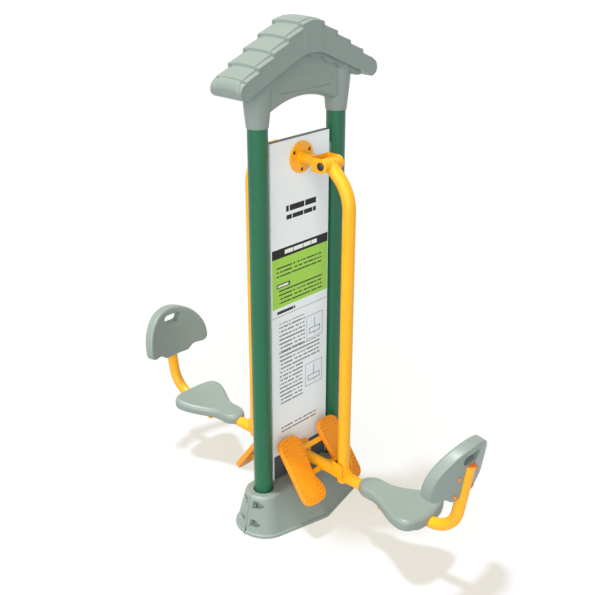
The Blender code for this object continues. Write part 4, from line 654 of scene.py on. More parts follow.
def pocket(sx, level):
    """Bullet-shaped recess beside the seam, deep at its square end and running out at its point."""
    corners = [(-0.020, -0.021), (-0.020, 0.021), (-0.048, 0.021), (-0.078, -0.002), (-0.048, -0.021)]
    outline = bend(corners, [0.005, 0.005, 0.014, 0.006, 0.014], 5, closed=True)
    flat = COVER_END_FLATTENING * down_cover(level)
    surface = POST_X + np.sqrt(cover_radius(level) ** 2 - outline[:, 0] ** 2) * (1 - flat)
    depth = 0.024 * (1 - smoothstep((-outline[:, 0] - 0.034) / 0.046)) + 0.0015
    middle = outline.mean(axis=0)
    rings = []
    for share, reach in ((0.86, surface - depth), (0.92, surface - 0.8 * depth), (1.0, surface - 0.2 * depth),
                         (1.10, surface + 0.004), (1.2, np.full(len(outline), POST_X + COVER_FOOT_R + 0.03))):
        flat = middle + (outline - middle) * share
        rings.append(np.column_stack([sx * reach, flat[:, 0], flat[:, 1] + level]))
    return shell(np.stack(rings), wrap_v=True)


def make_board(finishes):
    """Shallow folded tray with eased edges."""
    half = (BOARD_HIGH[0] - BOARD_LOW[0]) / 2
    tall = (BOARD_HIGH[2] - BOARD_LOW[2]) / 2
    middle = (BOARD_HIGH[2] + BOARD_LOW[2]) / 2
    outline = oblong(half, tall, 0.007, 6)
    depth = BOARD_HIGH[1] - BOARD_LOW[1]
    tray = slab(outline, 0.0, depth, 0.0032)
    tray = moved(tray, at(0.0, BOARD_HIGH[1], middle, OUT_FRONT))
    both_sides("board_tray", [tray], finishes, "frame", ["board_sheet"], "pale_board_lacquer")


def flange_disc(level):
    """Round flange standing on the board's face."""
    plate = disc(FLANGE_R, 0.0, FLANGE_PLATE, 0.002, 96)
    return moved(plate, at(0.0, FLANGE_BACK_Y, level, OUT_FRONT))


def on_flange(level, out=0.0):
    """Places of a flange's three bolts, far, near and lower, a little way out from its face."""
    reach, y = FLANGE_BOLT_CIRCLE, FLANGE_FACE_Y + out
    return [at(reach * cos(t), y, level + reach * sin(t), OUT_FRONT)
            for t in (pi / 6 + k * 2 * pi / 3 for k in range(3))]


def counterbores(level):
    drill = disc(0.0092, -0.0068, 0.02, 0.0008, 32)
    return [moved(drill, place) for place in on_flange(level)]


def stub(level, start, end, radius=STUB_R, edge=0.0):
    """Round bar from the flange outwards."""
    path = np.array([(0.0, start, level), (0.0, (start + end) / 2, level), (0.0, end, level)])
    return sweep(path, radius, 56, ease=edge)


def whole_turn(count=120):
    """Cosines and sines of evenly spaced angles all the way round."""
    turn = np.linspace(0, 2 * pi, count, endpoint=False)
    return np.cos(turn), np.sin(turn)


def weld_ring(level):
    """Fillet weld where a stub meets its flange."""
    side, rise = whole_turn()
    radius = STUB_R + 0.001
    path = np.stack([radius * side, np.full(len(side), FLANGE_FACE_Y - 0.001), level + radius * rise], axis=1)
    return bead(path, FLANGE_WELD, np.stack([side, np.zeros(len(side)), rise], axis=1))


def bead(path, size, reference):
    """A weld bead along a closed path; its radius swells and shrinks like laid drops."""
    count = len(path)
    radii = size * (1 + 0.08 * np.sin(np.arange(count) * 2 * pi * 24 / count))
    return tube(path, np.roll(path, -1, 0) - np.roll(path, 1, 0), radii, reference, 10, True)


def flanged_stub(level, end):
    """Flange, a round bar from it to an end, and the weld between them."""
    return [flange_disc(level), stub(level, FLANGE_FACE_Y + 0.005, end), weld_ring(level)]


def fork_plan(side, tip, back, radius):
    """Middle line in plan of a flat bar bent into a fork, from tip to tip."""
    corners = [(-side, tip), (-side, back), (side, back), (side, tip)]
    return spaced(bend(corners, [0, radius, radius, 0], 6), 0.0016)


def make_hanger(paint):
    """Flange, stub and a fork bent from one flat bar whose ends are half round."""
    parts, tip = flanged_stub(PIVOT_Z, FORK_BACK_Y + 0.002), PIVOT_Y - FORK_R
    plan = fork_plan(FORK_HALF - FORK_PLATE / 2, tip, FORK_BACK_Y + 0.004, 0.008)
    reach = np.clip(plan[:, 1] - tip, 0.0, FORK_R)
    half = np.sqrt(np.maximum(FORK_R ** 2 - (FORK_R - reach) ** 2, 1e-7))
    parts.append(strap(plan, PIVOT_Z - half, PIVOT_Z + half, FORK_PLATE))
    both_sides("hanger_fork", parts, paint, "frame", ["hanger"], "yellow_frame_paint", counterbores(PIVOT_Z))


def make_pivot_caps(plastic):
    """Snap-on caps over the pivot bolt's head and nut."""
    cap = dome(0.0185, 0.010, 48)
    for end, side in (("near", -1), ("far", 1)):
        turn = Matrix.Rotation(side * pi / 2, 4, "Y")
        item = moved(cap, at(side * (FORK_HALF + 0.0003), PIVOT_Y, PIVOT_Z, turn))
        both_sides(end + "_pivot_cap_dome", [item], plastic, "frame", [end + "_pivot_cap"],
                   "black_cap_plastic")


def button_head():
    """Low round screw head with a socket."""
    return lathe([(0.002, -0.003), (0.0045, -0.001), (0.0064, -0.001), (0.0066, 0.0), (0.0066, 0.0028),
                  (0.0054, 0.0048), (0.0034, 0.0054), (0.0029, 0.0030), (0.0004, 0.0030)], 36)


def make_flange_screws(steel):
    """Button-head screws sunk in the flange."""
    for end, place in zip(("far", "near", "lower"), on_flange(PIVOT_Z, SCREW_OUT)):
        both_sides(end + "_hanger_screw", [moved(button_head(), place)], steel, "frame",
                   [end + "_hanger_bolt"], "blackened_screw_steel")


def in_middle_plane(line):
    """A line of Y and Z set at X = 0, its points no more than 30 mm apart."""
    line = spaced(line, 0.03)
    return np.column_stack([np.zeros(len(line)), line])


def arm_line():
    corner = (ARM_Y, PIVOT_Z + (ARM_Y - PIVOT_Y) / tan(TUBE_LEAN))
    start = (PIVOT_Y - 0.012 * sin(TUBE_LEAN), PIVOT_Z - 0.012 * cos(TUBE_LEAN))
    return in_middle_plane(bend([start, corner, (ARM_Y, SEAT_TUBE_Z - SEAT_TUBE_R)], [0, TUBE_BEND_R, 0], 28))


def seat_line(start, top):
    run = SEAT_TUBE_BEND_R * tan((pi / 2 - BACK_LEAN) / 2)
    corner_y = -(SEAT_REAR - 0.014) - run
    end = corner_y - (top - SEAT_TUBE_Z) * tan(BACK_LEAN)
    corners = [(start, SEAT_TUBE_Z), (corner_y, SEAT_TUBE_Z), (end, top)]
    return in_middle_plane(bend(corners, [0, SEAT_TUBE_BEND_R, 0], 30))


def make_swing_arm(paint, cap_plastic):
    """Barrel, drawn solid as its bore is hidden, hanging tube, seat tube, gusset, brackets and beads."""
    barrel = disc(TUBE_R, -BARREL_HALF, BARREL_HALF, 0.0025, 72)
    parts = [moved(barrel, at(0.0, PIVOT_Y, PIVOT_Z, ALONG_X))]
    parts.append(sweep(arm_line(), TUBE_R, 56, ease=0.0015))
    parts.append(sweep(seat_line(ARM_Y + 0.004, SEAT_TUBE_TOP - 0.003), SEAT_TUBE_R, 56))
    y, z = ARM_Y - TUBE_R, SEAT_TUBE_Z + SEAT_TUBE_R
    curve = on_circle(y - GUSSET_REACH, z + GUSSET_REACH, GUSSET_REACH, np.linspace(-pi / 2, 0, 16))
    outline = np.vstack([curve, [(y + 0.004, z + GUSSET_REACH), (y + 0.004, z - 0.004),
                                 (y - GUSSET_REACH, z - 0.004)]])
    gusset = slab(outline, -0.006, 0.006, 0.001)
    parts.append(moved(gusset, Matrix(((0, 0, 1, 0), (1, 0, 0, 0), (0, 1, 0, 0), (0, 0, 0, 1)))))
    side, rise = whole_turn()
    lean = np.array([0.0, -sin(TUBE_LEAN), -cos(TUBE_LEAN)])
    normal = np.array([0.0, cos(TUBE_LEAN), -sin(TUBE_LEAN)])
    away = np.sqrt(TUBE_R ** 2 - (TUBE_R * 0.985 * rise) ** 2) + 0.002
    outward = np.outer(side, (1, 0, 0)) + np.outer(rise, normal)
    path = np.array([0.0, PIVOT_Y, PIVOT_Z]) + np.outer(away, lean) + TUBE_R * outward
    parts.append(bead(path, ARM_WELD, outward))
    away = np.sqrt(TUBE_R ** 2 - (SEAT_TUBE_R * side) ** 2) + 0.001
    path = np.stack([SEAT_TUBE_R * side, ARM_Y - away, SEAT_TUBE_Z + SEAT_TUBE_R * rise], axis=1)
    parts.append(bead(path, SEAT_WELD, np.stack([side, np.zeros(len(side)), rise], axis=1)))
    for y in EAR_YS:
        plate = slab(oblong(0.078, 0.015, 0.005), -0.005, 0.0, 0.001)
        parts.append(moved(plate, at(0.0, y, SEAT_LOW - 0.0003)))
        for x in (-EAR_BOLT_X, EAR_BOLT_X):
            turn = at(x, y, SEAT_LOW - 0.0053, Matrix.Rotation(pi, 4, "X"))
            parts.append(moved(hexagon_head(*BOLT_HEAD), turn))
    both_sides("arm_weldment", parts, paint, "arm", ["swing_arm"], "yellow_frame_paint")
    end = seat_line(ARM_Y, SEAT_TUBE_TOP - 0.004)[-2:]
    along = Vector(end[1] - end[0]).normalized()
    plug = dome(SEAT_TUBE_R - 0.0006, 0.007, 48, 0.2)
    item = moved(plug, at(*end[1], Vector((0, 0, 1)).rotation_difference(along).to_matrix().to_4x4()))
    both_sides("tube_end_plug", [item], cap_plastic, "arm", [], "orange_bolt_paint")


def seat_outline(count=120):
    """Half width over the length: an eased step from nose to rear times a fall-off at each end."""
    middle, half = (SEAT_NOSE + SEAT_REAR) / 2, (SEAT_REAR - SEAT_NOSE) / 2
    reach = middle - half * np.cos(np.linspace(0, pi, count))
    step = smoothstep((reach - 0.520) / 0.255)
    width = SEAT_NOSE_HALF + (SEAT_REAR_HALF - SEAT_NOSE_HALF) * step
    nose = np.clip(1 - (reach - SEAT_NOSE) / 0.070, 0, 1)
    rear = np.clip(1 - (SEAT_REAR - reach) / 0.105, 0, 1)
    width = width * np.sqrt(np.maximum(1 - nose ** 2, 0)) * np.sqrt(np.maximum(1 - rear ** 4, 0))
    left = np.stack([-width, -reach], axis=1)
    right = np.stack([width, -reach], axis=1)[1:-1]
    return np.vstack([left[::-1], right])


def even(outline, count):
    """The same closed outline with evenly spaced points."""
    loop = np.vstack([outline, outline[:1]])
    length = np.concatenate([[0.0], np.cumsum(np.linalg.norm(np.diff(loop, axis=0), axis=1))])
    at_length = np.linspace(0, length[-1], count, endpoint=False)
    return np.stack([np.interp(at_length, length, loop[:, k]) for k in range(2)], axis=1)


def cushion_slab(outline, centre, under, over, foot, edge, inner=12, steps=8):
    """A moulded slab over a star-shaped outline.

    Rings shrink towards the centre: by a quarter circle at the foot, by
    another at the upper edge, and then evenly across the two faces, whose
    levels are functions of the place.
    """
    arm = outline - centre
    reach = np.linalg.norm(arm, axis=1)[:, None]
    rings = []

    def put(share, level_of, offset):
        flat = centre + arm * share
        rings.append(np.column_stack([flat, level_of(flat) + offset]))

    for share in (0.02, 0.35, 0.7):
        put(share, under, 0.0)
    for t in quarter(steps + 1):
        put(1 - foot * (1 - sin(t)) / reach, under, foot * (1 - cos(t)))
    for t in quarter(steps + 1):
        put(1 - edge * (1 - cos(t)) / reach, over, edge * (sin(t) - 1))
    limit = 1 - edge / reach
    for share in np.linspace(1, 0.02, inner + 1)[1:]:
        put(limit * share, over, 0.0)
    return shell(np.stack(rings), wrap_v=True)


def seat_top(flat):
    """Level of the seat: dished across, rising at the rear and at the nose."""
    reach = -flat[:, 1]
    along = (reach - SEAT_NOSE) / (SEAT_REAR - SEAT_NOSE)
    across = flat[:, 0] / SEAT_REAR_HALF
    rise = SEAT_REAR_RISE * smoothstep((along - 0.55) / 0.45)
    dish = SEAT_DISH * (across ** 2 - 0.40) * smoothstep(along / 0.7)
    return SEAT_TOP + rise + dish


def seat_under(flat):
    """Level of the seat's foot: flat round the tube, a little higher under the two rear lobes."""
    lobe = smoothstep((-flat[:, 1] - 0.62) / 0.15) * smoothstep((np.abs(flat[:, 0]) - 0.078) / 0.03)
    return SEAT_LOW + 0.008 * lobe


def make_seat(plastic):
    """Moulded saddle with a channel for the tube."""
    outline = even(seat_outline(), 220)
    centre = np.array([0.0, -(SEAT_NOSE + 2 * SEAT_REAR) / 3])
    solid = cushion_slab(outline, centre, seat_under, seat_top, SEAT_FOOT_R, SEAT_EDGE_R)
    line = seat_line(ARM_Y, 0.5)
    channel = sweep(line[line[:, 1] > CHANNEL_END_Y], SEAT_TUBE_R + TUBE_CLEARANCE, 40)
    half, low = SEAT_TUBE_R + MOUTH_GAP, SEAT_LOW - 0.02
    section = [(-half, low), (half, low), (half, SEAT_TUBE_Z), (-half, SEAT_TUBE_Z)]
    mouth = shell(np.array([[(x, y, z) for x, z in section] for y in (ARM_Y, CHANNEL_END_Y)]), wrap_v=True)
    both_sides("seat_saddle", [solid], plastic, "arm", ["seat"], "grey_green_plastic", [channel, mouth],
               smooth=45)


def lean_frame():
    """Backrest's frame: X across to the near side, Y up the lean, Z towards the user."""
    lean = Matrix.Rotation(pi, 4, "Z") @ Matrix.Rotation(pi / 2 - BACK_LEAN, 4, "X")
    return Matrix.Translation(BACK_FACE) @ lean


def up_lean(level):
    return (level - BACK_FACE[2]) / cos(BACK_LEAN)


def back_outline():
    """Half disc above, two round wings, and a tongue between two eased steps below."""
    wing, tongue = up_lean(0.547), up_lean(0.517)
    upper = on_circle(0.0, up_lean(0.597), BACK_R, np.linspace(0, pi, 90))
    corner = on_circle(-BACK_R + WING_R, wing + WING_R, WING_R, np.linspace(pi, 3 * pi / 2, 20))
    share = np.linspace(0, 1, 24)
    step = np.stack([-0.124 + 0.056 * share, wing + (tongue - wing) * smoothstep(share)], axis=1)
    lower = np.vstack([corner, step])
    return np.vstack([upper, lower, lower[::-1] * np.array([-1, 1])])


def bow(flat):
    return BACK_BOW * (flat[:, 0] / BACK_R) ** 2


def make_backrest(plastic, bolt_paint):
    """Bowed half-round back with a hand slot, a channel for the tube and flats for the bolts."""
    place = lean_frame()

    def front(flat):
        radius = np.linalg.norm(flat - np.array([0.0, up_lean(0.65)]), axis=1)
        return BACK_THICKNESS + bow(flat) + BACK_CROWN * (1 - np.clip(radius / BACK_R, 0, 1) ** 2)

    solid = cushion_slab(even(back_outline(), 240), np.zeros(2), bow, front, BACK_FOOT_R, BACK_EDGE_R)
    solid = moved(solid, place)
    middle, ease = np.array([0.0, up_lean(SLOT_Z)]), 0.006
    slot = oblong(SLOT_HALF_WIDTH, SLOT_HALF_HEIGHT, SLOT_HALF_HEIGHT - 0.0005, 14, middle)
    rows = [(ease * (1 - sin(turn)), ease * (1 - cos(turn)) if turn > 0 else -ease * abs(turn) * 3)
            for turn in np.linspace(-0.35, pi / 2, 7)]
    rows += [(grow, BACK_THICKNESS + BACK_CROWN - depth) for grow, depth in rows[::-1]]
    arm = slot - middle
    length = np.linalg.norm(arm, axis=1)[:, None]
    rings = []
    for grow, depth in rows:
        flat = slot + arm / length * grow
        rings.append(np.column_stack([flat, depth + bow(flat)]))
    slot_cut = moved(shell(np.stack(rings), wrap_v=True), place)
    line = seat_line(ARM_Y, SEAT_TUBE_TOP + TUBE_CLEARANCE)
    channel = sweep(line[line[:, 2] > CHANNEL_START_Z], SEAT_TUBE_R + TUBE_CLEARANCE, 40)
    depth = BACK_BOW * ((BACK_BOLT_X + 0.010) / BACK_R) ** 2
    spots = [moved(disc(0.0112, -0.02, depth, 0.0005, 32), place @ at(x, up_lean(z), 0.0))
             for x, z in BACK_BOLTS]
    both_sides("backrest_shell", [solid], plastic, "arm", ["backrest"], "grey_green_plastic",
               [slot_cut, channel] + spots, smooth=45)
    head = dome(0.0092, 0.0085, 32, 0.35)
    for (x, z), end in zip(BACK_BOLTS, ("far_lower", "far_upper", "near_lower", "near_upper")):
        turn = place @ at(x, up_lean(z), depth - 0.0003, Matrix.Rotation(pi, 4, "X"))
        both_sides(end + "_backrest_bolt_head", [moved(head, turn)], bolt_paint, "arm",
                   [end + "_backrest_bolt"], "orange_bolt_paint")


def pedal_frame():
    """Footrest frame: X across, Y down the face, Z away from the user."""
    return Matrix.Translation(PEDAL_TOP) @ Matrix.Rotation(-pi / 2 - PEDAL_LEAN, 4, "X")


def sole_outline():
    """Footrest outline about its middle: outer edge at -X, a waist and a heel on the inner edge."""
    outer, heel, length = -0.0695, 0.0810, PEDAL_LENGTH
    corners = [(0.0690, 0.0), (0.0, -0.006), (outer, 0.0), (outer, length), (0.0, length + 0.004),
               (heel, length), (heel, 0.283), (0.0545, 0.215), (0.0690, 0.072)]
    radii = [0.046, 0.3, 0.046, 0.048, 0.3, 0.048, 0.045, 0.075, 0.3]
    outline = bend(np.array(corners)[::-1] - np.array([0.0, length / 2]), radii[::-1], 10, closed=True)
    return even(outline, 220)


def inset(outline, amount):
    """An outline drawn in along its normals."""
    along = np.roll(outline, -1, 0) - np.roll(outline, 1, 0)
    along /= np.linalg.norm(along, axis=1)[:, None]
    return outline - np.stack([along[:, 1], -along[:, 0]], axis=1) * amount


def make_pedals(plastic, stud_shade_plastic):
    """Sole-shaped footrest pad, eased all round, with two rows of grip studs near each end; the studs are
    coloured dark as painted shade of small recesses.
    """
    outline = sole_outline()
    body = slab(outline, 0.0, PEDAL_THICKNESS, PEDAL_EDGE_R, 6)
    stud = lathe([(0.0025, 0.0006), (0.0024, -0.0008), (0.0016, -0.0018), (0.0003, -0.0020)], 12)
    spots = [even(inset(outline, 0.013), 42), even(inset(outline, 0.030), 30)]
    spots = [row[np.abs(row[:, 1]) > PEDAL_LENGTH / 2 - reach] for row, reach in zip(spots, (0.125, 0.075))]
    studs = [moved(stud, at(x, y, 0.0)) for x, y in np.vstack(spots)]
    for end, sx in (("near", 1), ("far", -1)):
        flip = Matrix.Diagonal((sx, 1, 1, 1))
        place = pedal_frame() @ at(-sx * PEDAL_X, PEDAL_LENGTH / 2, 0.0) @ flip
        for name, items, finish, nodes in (("pad", [body], plastic, [end + "_footrest"]),
                                           ("studs", studs, stud_shade_plastic, [])):
            items = [mirrored(part, place) if sx < 0 else moved(part, place) for part in items]
            both_sides(end + "_footrest_" + name, items, finish, "frame", nodes, "orange_footrest_plastic")


def mirrored(item, matrix):
    """A shell carried by a matrix that mirrors, its faces turned back outwards."""
    points, faces = moved(item, matrix)
    return points, [face[::-1] for face in faces]


def boxed(x, y, z, edge=0.001):
    """A bar with eased edges, from three pairs of limits."""
    outline = oblong((x[1] - x[0]) / 2, (y[1] - y[0]) / 2, edge, 3)
    bar = slab(outline, z[0], z[1], edge, 3)
    return moved(bar, at((x[0] + x[1]) / 2, (y[0] + y[1]) / 2, 0.0))


def make_footrest_frame(paint, screw_steel):
    """Flange, stub, collar, bent cradle, cross bars, stringers and bolts."""
    parts = flanged_stub(STOP_Z, STUB_END) + [stub(STOP_Z, -0.190, STUB_END, 0.031, 0.002)]
    plan = fork_plan(CRADLE_HALF - CRADLE_PLATE / 2, CRADLE_TIP, CRADLE_BACK, 0.006)
    reach = np.clip(plan[:, 1] - CRADLE_TIP, 0.0, CRADLE_ROUND)
    fall = np.sqrt(np.maximum(CRADLE_ROUND ** 2 - (CRADLE_ROUND - reach) ** 2, 0.0))
    parts.append(strap(plan, np.full(len(plan), CRADLE_LOW), CRADLE_HIGH - CRADLE_ROUND + fall, CRADLE_PLATE))
    frame_of = pedal_frame()
    near, far = PEDAL_THICKNESS + 0.0003, PEDAL_THICKNESS + 0.0083
    for y in PEDAL_BARS:
        parts.append(moved(boxed((-0.172, 0.172), (y - 0.0125, y + 0.0125), (near, far)), frame_of))
    for sx in (-1, 1):
        x = sx * PEDAL_X
        stringer = boxed((x - 0.012, x + 0.012), (0.055, 0.275), (far - 0.002, far + 0.005))
        parts.append(moved(stringer, frame_of))
        for y in PEDAL_BARS:
            parts.append(moved(hexagon_head(*BOLT_HEAD), frame_of @ at(x, y, far + 0.005)))
    heads = [moved(button_head(), place) for place in on_flange(STOP_Z, SCREW_OUT)]
    both_sides("footrest_weldment", parts, paint, "frame", ["footrest_frame"], "yellow_frame_paint",
               counterbores(STOP_Z))
    both_sides("footrest_flange_screws", heads, screw_steel, "frame", [], "blackened_screw_steel")


def make_bumper(rubber):
    """Rubber block that the hanging tube rests on."""
    block = slab(oblong(0.022, 0.035, 0.008, 8), 0.0, 0.0094, 0.002)
    item = moved(block, at(0.0, -0.2683, 0.336, OUT_FRONT))
    both_sides("arm_bumper_block", [item], rubber, "frame", ["arm_bumper"], "black_rubber")


ROOF_HALF_DEPTH = ROOF_HIGH[1]
EAVE_R = 0.040
EAVE_X = ROOF_HIGH[0] - EAVE_R
EAVE_Z = 2.212
COURSES = ((0.067, 2.446), (0.153, 2.397), (0.239, 2.348), (0.325, 2.299))
SHOULDER = (0.395, 2.2535)
UNDERSIDE = ((0.0, 2.322), (0.0605, 2.316), (0.331, 2.200), (EAVE_X, EAVE_Z - EAVE_R))
TILE_Y = 0.068
ARCH_CROWN, ARCH_FALL = 2.129, 1.1
WALL_HALF_DEPTH, WALL_NOSE_R = 0.050, 0.043
SCALLOP_PITCH, SCALLOP_DEPTH = 0.0875, 0.016
FIELD_Z, FIELD_SAG = 2.208, 0.0195
SOCKET_R = 0.0490


def roof_profile(groove):
    """Right half of the roof's top: a ridge cap, stepped courses with round noses, and a round eave.

    groove, from 0 to 1, draws the notches in, as between the end tiles.
    """
    points = [(0.0, ROOF_HIGH[2] - 0.0075), (0.036, ROOF_HIGH[2] - 0.0135)]
    radii = [0.0, 0.030]
    for x, z in COURSES:
        points += [(x - 0.001, z + 0.002), (x - 0.0005 - 0.003 * groove, z - 0.0115 - 0.004 * groove)]
        radii += [0.0045, 0.0025]
    x, z = SHOULDER
    points += [(x - 0.001, z + 0.0015), (x - 0.002 * groove, z - 0.005 - 0.002 * groove)]
    radii += [0.003, 0.001]
    start = 1.17
    points.append((EAVE_X + EAVE_R * cos(start), EAVE_Z + EAVE_R * sin(start)))
    line = bend(points, radii + [0.0], 7)
    eave = on_circle(EAVE_X, EAVE_Z, EAVE_R, np.linspace(start, -pi / 2, 28)[1:])
    return np.vstack([halved(halved(line)), eave])


def halved(line):
    """A line with the middle of every step added."""
    out = np.repeat(line, 2, axis=0)[:-1]
    out[1::2] = (line[:-1] + line[1:]) / 2
    return out


def underside(x):
    return np.interp(np.abs(x), *zip(*UNDERSIDE))


def make_roof(plastic):
    """One moulding: stepped deck with end tiles, barge faces, scalloped band, gable wall and two sockets."""
    parts = [deck(), scallop_band(), cut_shell(gable_wall(), [gable_field(face) for face in (-1, 1)])]
    parts += [moved(socket(), at(sx * POST_X, 0.0, 0.0)) for sx in (-1, 1)]
    add_piece("roof_moulding", parts, plastic, "frame", ["roof"], "grey_green_plastic", smooth=40)


def cut_shell(item, cutters):
    """A shell less each cutter."""
    mesh = carved(mesh_from([item]), cutters)
    points = np.empty(len(mesh.vertices) * 3)
    mesh.vertices.foreach_get("co", points)
    return points.reshape(-1, 3), [list(face.vertices) for face in mesh.polygons]


def mirror_line(x, z):
    """A right half line over X joined to its mirror image."""
    return np.concatenate([-x[:0:-1], x]), np.concatenate([z[:0:-1], z])


def deck():
    """The roof slab, one closed loop across Y for every place along the slope.

    The top is crowned by bulge * (1 - (y / depth) squared), falls into a
    groove before each end tile, rolls over the edge by a quarter circle and
    goes down the barge face to the underside.
    """
    depth, edge, roll_turn = ROOF_HALF_DEPTH, 0.005, quarter(8)[1:]
    off_tile = np.array([-0.0045, -0.0030, -0.0015, 0.0, 0.0015, 0.0030, 0.0045])
    across = np.concatenate([np.linspace(0, TILE_Y - 0.008, 9), TILE_Y + off_tile,
                             np.linspace(TILE_Y + 0.007, depth - edge, 5),
                             depth - edge + edge * np.sin(roll_turn)])
    lift = 0.007 * (1 - (across / depth) ** 2) - 0.0075 * np.exp(-((across - TILE_Y) / 0.0024) ** 2)
    lift -= 0.002 * smoothstep((across - TILE_Y) / 0.004)
    lift[-len(roll_turn):] -= edge * (1 - np.cos(roll_turn))
    plain, notched = roof_profile(0.0), roof_profile(1.0)
    columns = []
    for y, rise in zip(across, lift):
        half = notched if y > TILE_Y else plain
        weight = smoothstep((half[:, 1] - (EAVE_Z - EAVE_R)) / EAVE_R)
        x, z = mirror_line(half[:, 0], half[:, 1] + rise * weight)
        columns.append(np.stack([x, np.full(len(x), y), z], axis=1))
    last, x_top = columns[-1], mirror_line(plain[:, 0], plain[:, 1])[0]
    under = np.minimum(plain[:, 0], EAVE_X)
    x_low, low = mirror_line(under, underside(under))
    for share in (0.06, 0.12, 0.3, 0.5, 0.7, 0.88):
        x = x_top + (x_low - x_top) * share
        z = last[:, 2] + (low + 0.004 - last[:, 2]) * share
        panel = 0.0028 * smoothstep((0.060 - np.abs(x)) / 0.006) * smoothstep(share / 0.12)
        columns.append(np.stack([x, depth - 0.0030 * smoothstep(share / 0.06) + panel, z], axis=1))
    for turn in quarter(5):
        y = np.full(len(x_low), depth - 0.0030 - 0.004 * (1 - cos(turn)))
        columns.append(np.stack([x_low, y, low + 0.004 * (1 - sin(turn))], axis=1))
    columns += [np.stack([x_low, np.full(len(x_low), y), low], axis=1) for y in (0.070, 0.03, 0.0)]
    half = np.stack(columns, axis=1)
    other = half[:, 1:-1] * np.array([1, -1, 1])
    return shell(np.concatenate([half, other[:, ::-1]], axis=1), wrap_v=True)


def upright(x, low, high, half_depth, edge):
    """A wall over X between two level lines; its lower edge is rounded, its depth may vary along X."""
    half_depth = np.broadcast_to(half_depth, x.shape)
    turn = quarter(9)
    rows = [(half_depth - edge * (1 - sin(t)), low + edge * (1 - cos(t))) for t in turn]
    top = low + edge
    rows += [(half_depth, top + (high - top) * share) for share in (0.4, 0.7, 1.0)]
    front = np.stack([np.stack([x, -y, z], axis=1) for y, z in rows], axis=1)
    back = front[:, ::-1] * np.array([1, -1, 1])
    return shell(np.concatenate([front, back], axis=1), wrap_v=True)


def scallop_band():
    """Band under the barge boards whose lower edge hangs in scallops: a row of rounded sine humps."""
    x = np.linspace(-0.345, 0.345, 281)
    wave = np.abs(np.sin(pi * x / SCALLOP_PITCH))
    low = underside(x) - 0.010 - SCALLOP_DEPTH * np.sqrt(wave ** 2 + 0.01)
    return upright(x, low, underside(x) + 0.030, 0.062, 0.003)


def gable_wall():
    """Wall between the sockets; its arched lower edge is a broad round nose, and it sinks into them."""
    x = np.linspace(-POST_X, POST_X, 141)
    arch = ARCH_CROWN - ARCH_FALL * x ** 2
    sunk = 0.007 * smoothstep((np.abs(x) - POST_X + 0.060) / 0.050)
    return upright(x, arch, underside(x) + 0.005, WALL_HALF_DEPTH - sunk, WALL_NOSE_R)


def gable_field(face):
    """Shallow arched recess in the gable wall, left bare, with round corners."""
    flat = spaced(oblong(0.163, 0.028, 0.006, 5), 0.008)
    flat[:, 1] += FIELD_Z - FIELD_SAG * (flat[:, 0] / 0.160) ** 2
    rings = [np.column_stack([flat[:, 0] * grow, np.full(len(flat), face * y), flat[:, 1]])
             for y, grow in ((0.0468, 0.994), (0.0502, 1.0), (0.07, 1.0))]
    return shell(np.stack(rings), wrap_v=True)


def socket():
    """Tapered round socket with a rolled lower rim, open below for the post."""
    low, high, inner, rim = ROOF_LOW[2], 2.245, POST_R + 0.0004, 0.0015
    rows = [(inner, POST_HIGH[2]), (inner, low + 0.001), (inner + 0.001, low)]
    rows += [(SOCKET_R - rim * (1 - sin(t)), low + rim * (1 - cos(t))) for t in quarter(5)]
    rows += [(SOCKET_R + 0.0185 * share + rim * sin(pi * share), low + rim + (high - low) * share)
             for share in np.linspace(0, 1, 14)[1:]]
    rows += [(0.02, high + 0.001), (0.02, POST_HIGH[2] + 0.004)]
    return lathe(rows, 96, closed=True)


def boxes(ending):
    """Name, two corners and middle of the box of each node whose name ends so."""
    for node in frame["nodes"]:
        if node.endswith(ending):
            low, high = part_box(node)
            yield node, low, high, (low + high) / 2


def make_small_screws(steel):
    """Pan-head screws in the roof's sockets and hexagon bolts in the cover's pockets."""
    pan = lathe([(0.0025, -0.002), (0.0055, 0.0), (0.0055, 0.0012), (0.0046, 0.0026), (0.0024, 0.0030),
                 (0.0020, 0.0018), (0.0003, 0.0018)], 32)
    head, washer = hexagon_head(*BOLT_HEAD), disc(0.0095, -0.0002, 0.0014, 0.0004, 40)
    shank = disc(0.004, -0.0265, 0.0265, 0.0005, 24)
    out_rear = Matrix.Rotation(pi, 4, "Z") @ OUT_FRONT
    for node, low, high, middle in boxes("roof_screw"):
        front = middle[1] < 0
        y = low[1] + 0.003 if front else high[1] - 0.003
        place = at(middle[0], y, middle[2], OUT_FRONT if front else out_rear)
        add_piece(node + "_head", [moved(pan, place)], steel, "frame", [node], "zinc_plated_steel")
    for node, low, high, middle in boxes("cover_bolt"):
        parts = [moved(shank, at(*middle, OUT_FRONT))]
        for turn, y in ((OUT_FRONT, -0.0266), (out_rear, 0.0266)):
            parts += [moved(item, at(middle[0], y, middle[2], turn)) for item in (head, washer)]
        add_piece(node + "_set", parts, steel, "frame", [node], "zinc_plated_steel")


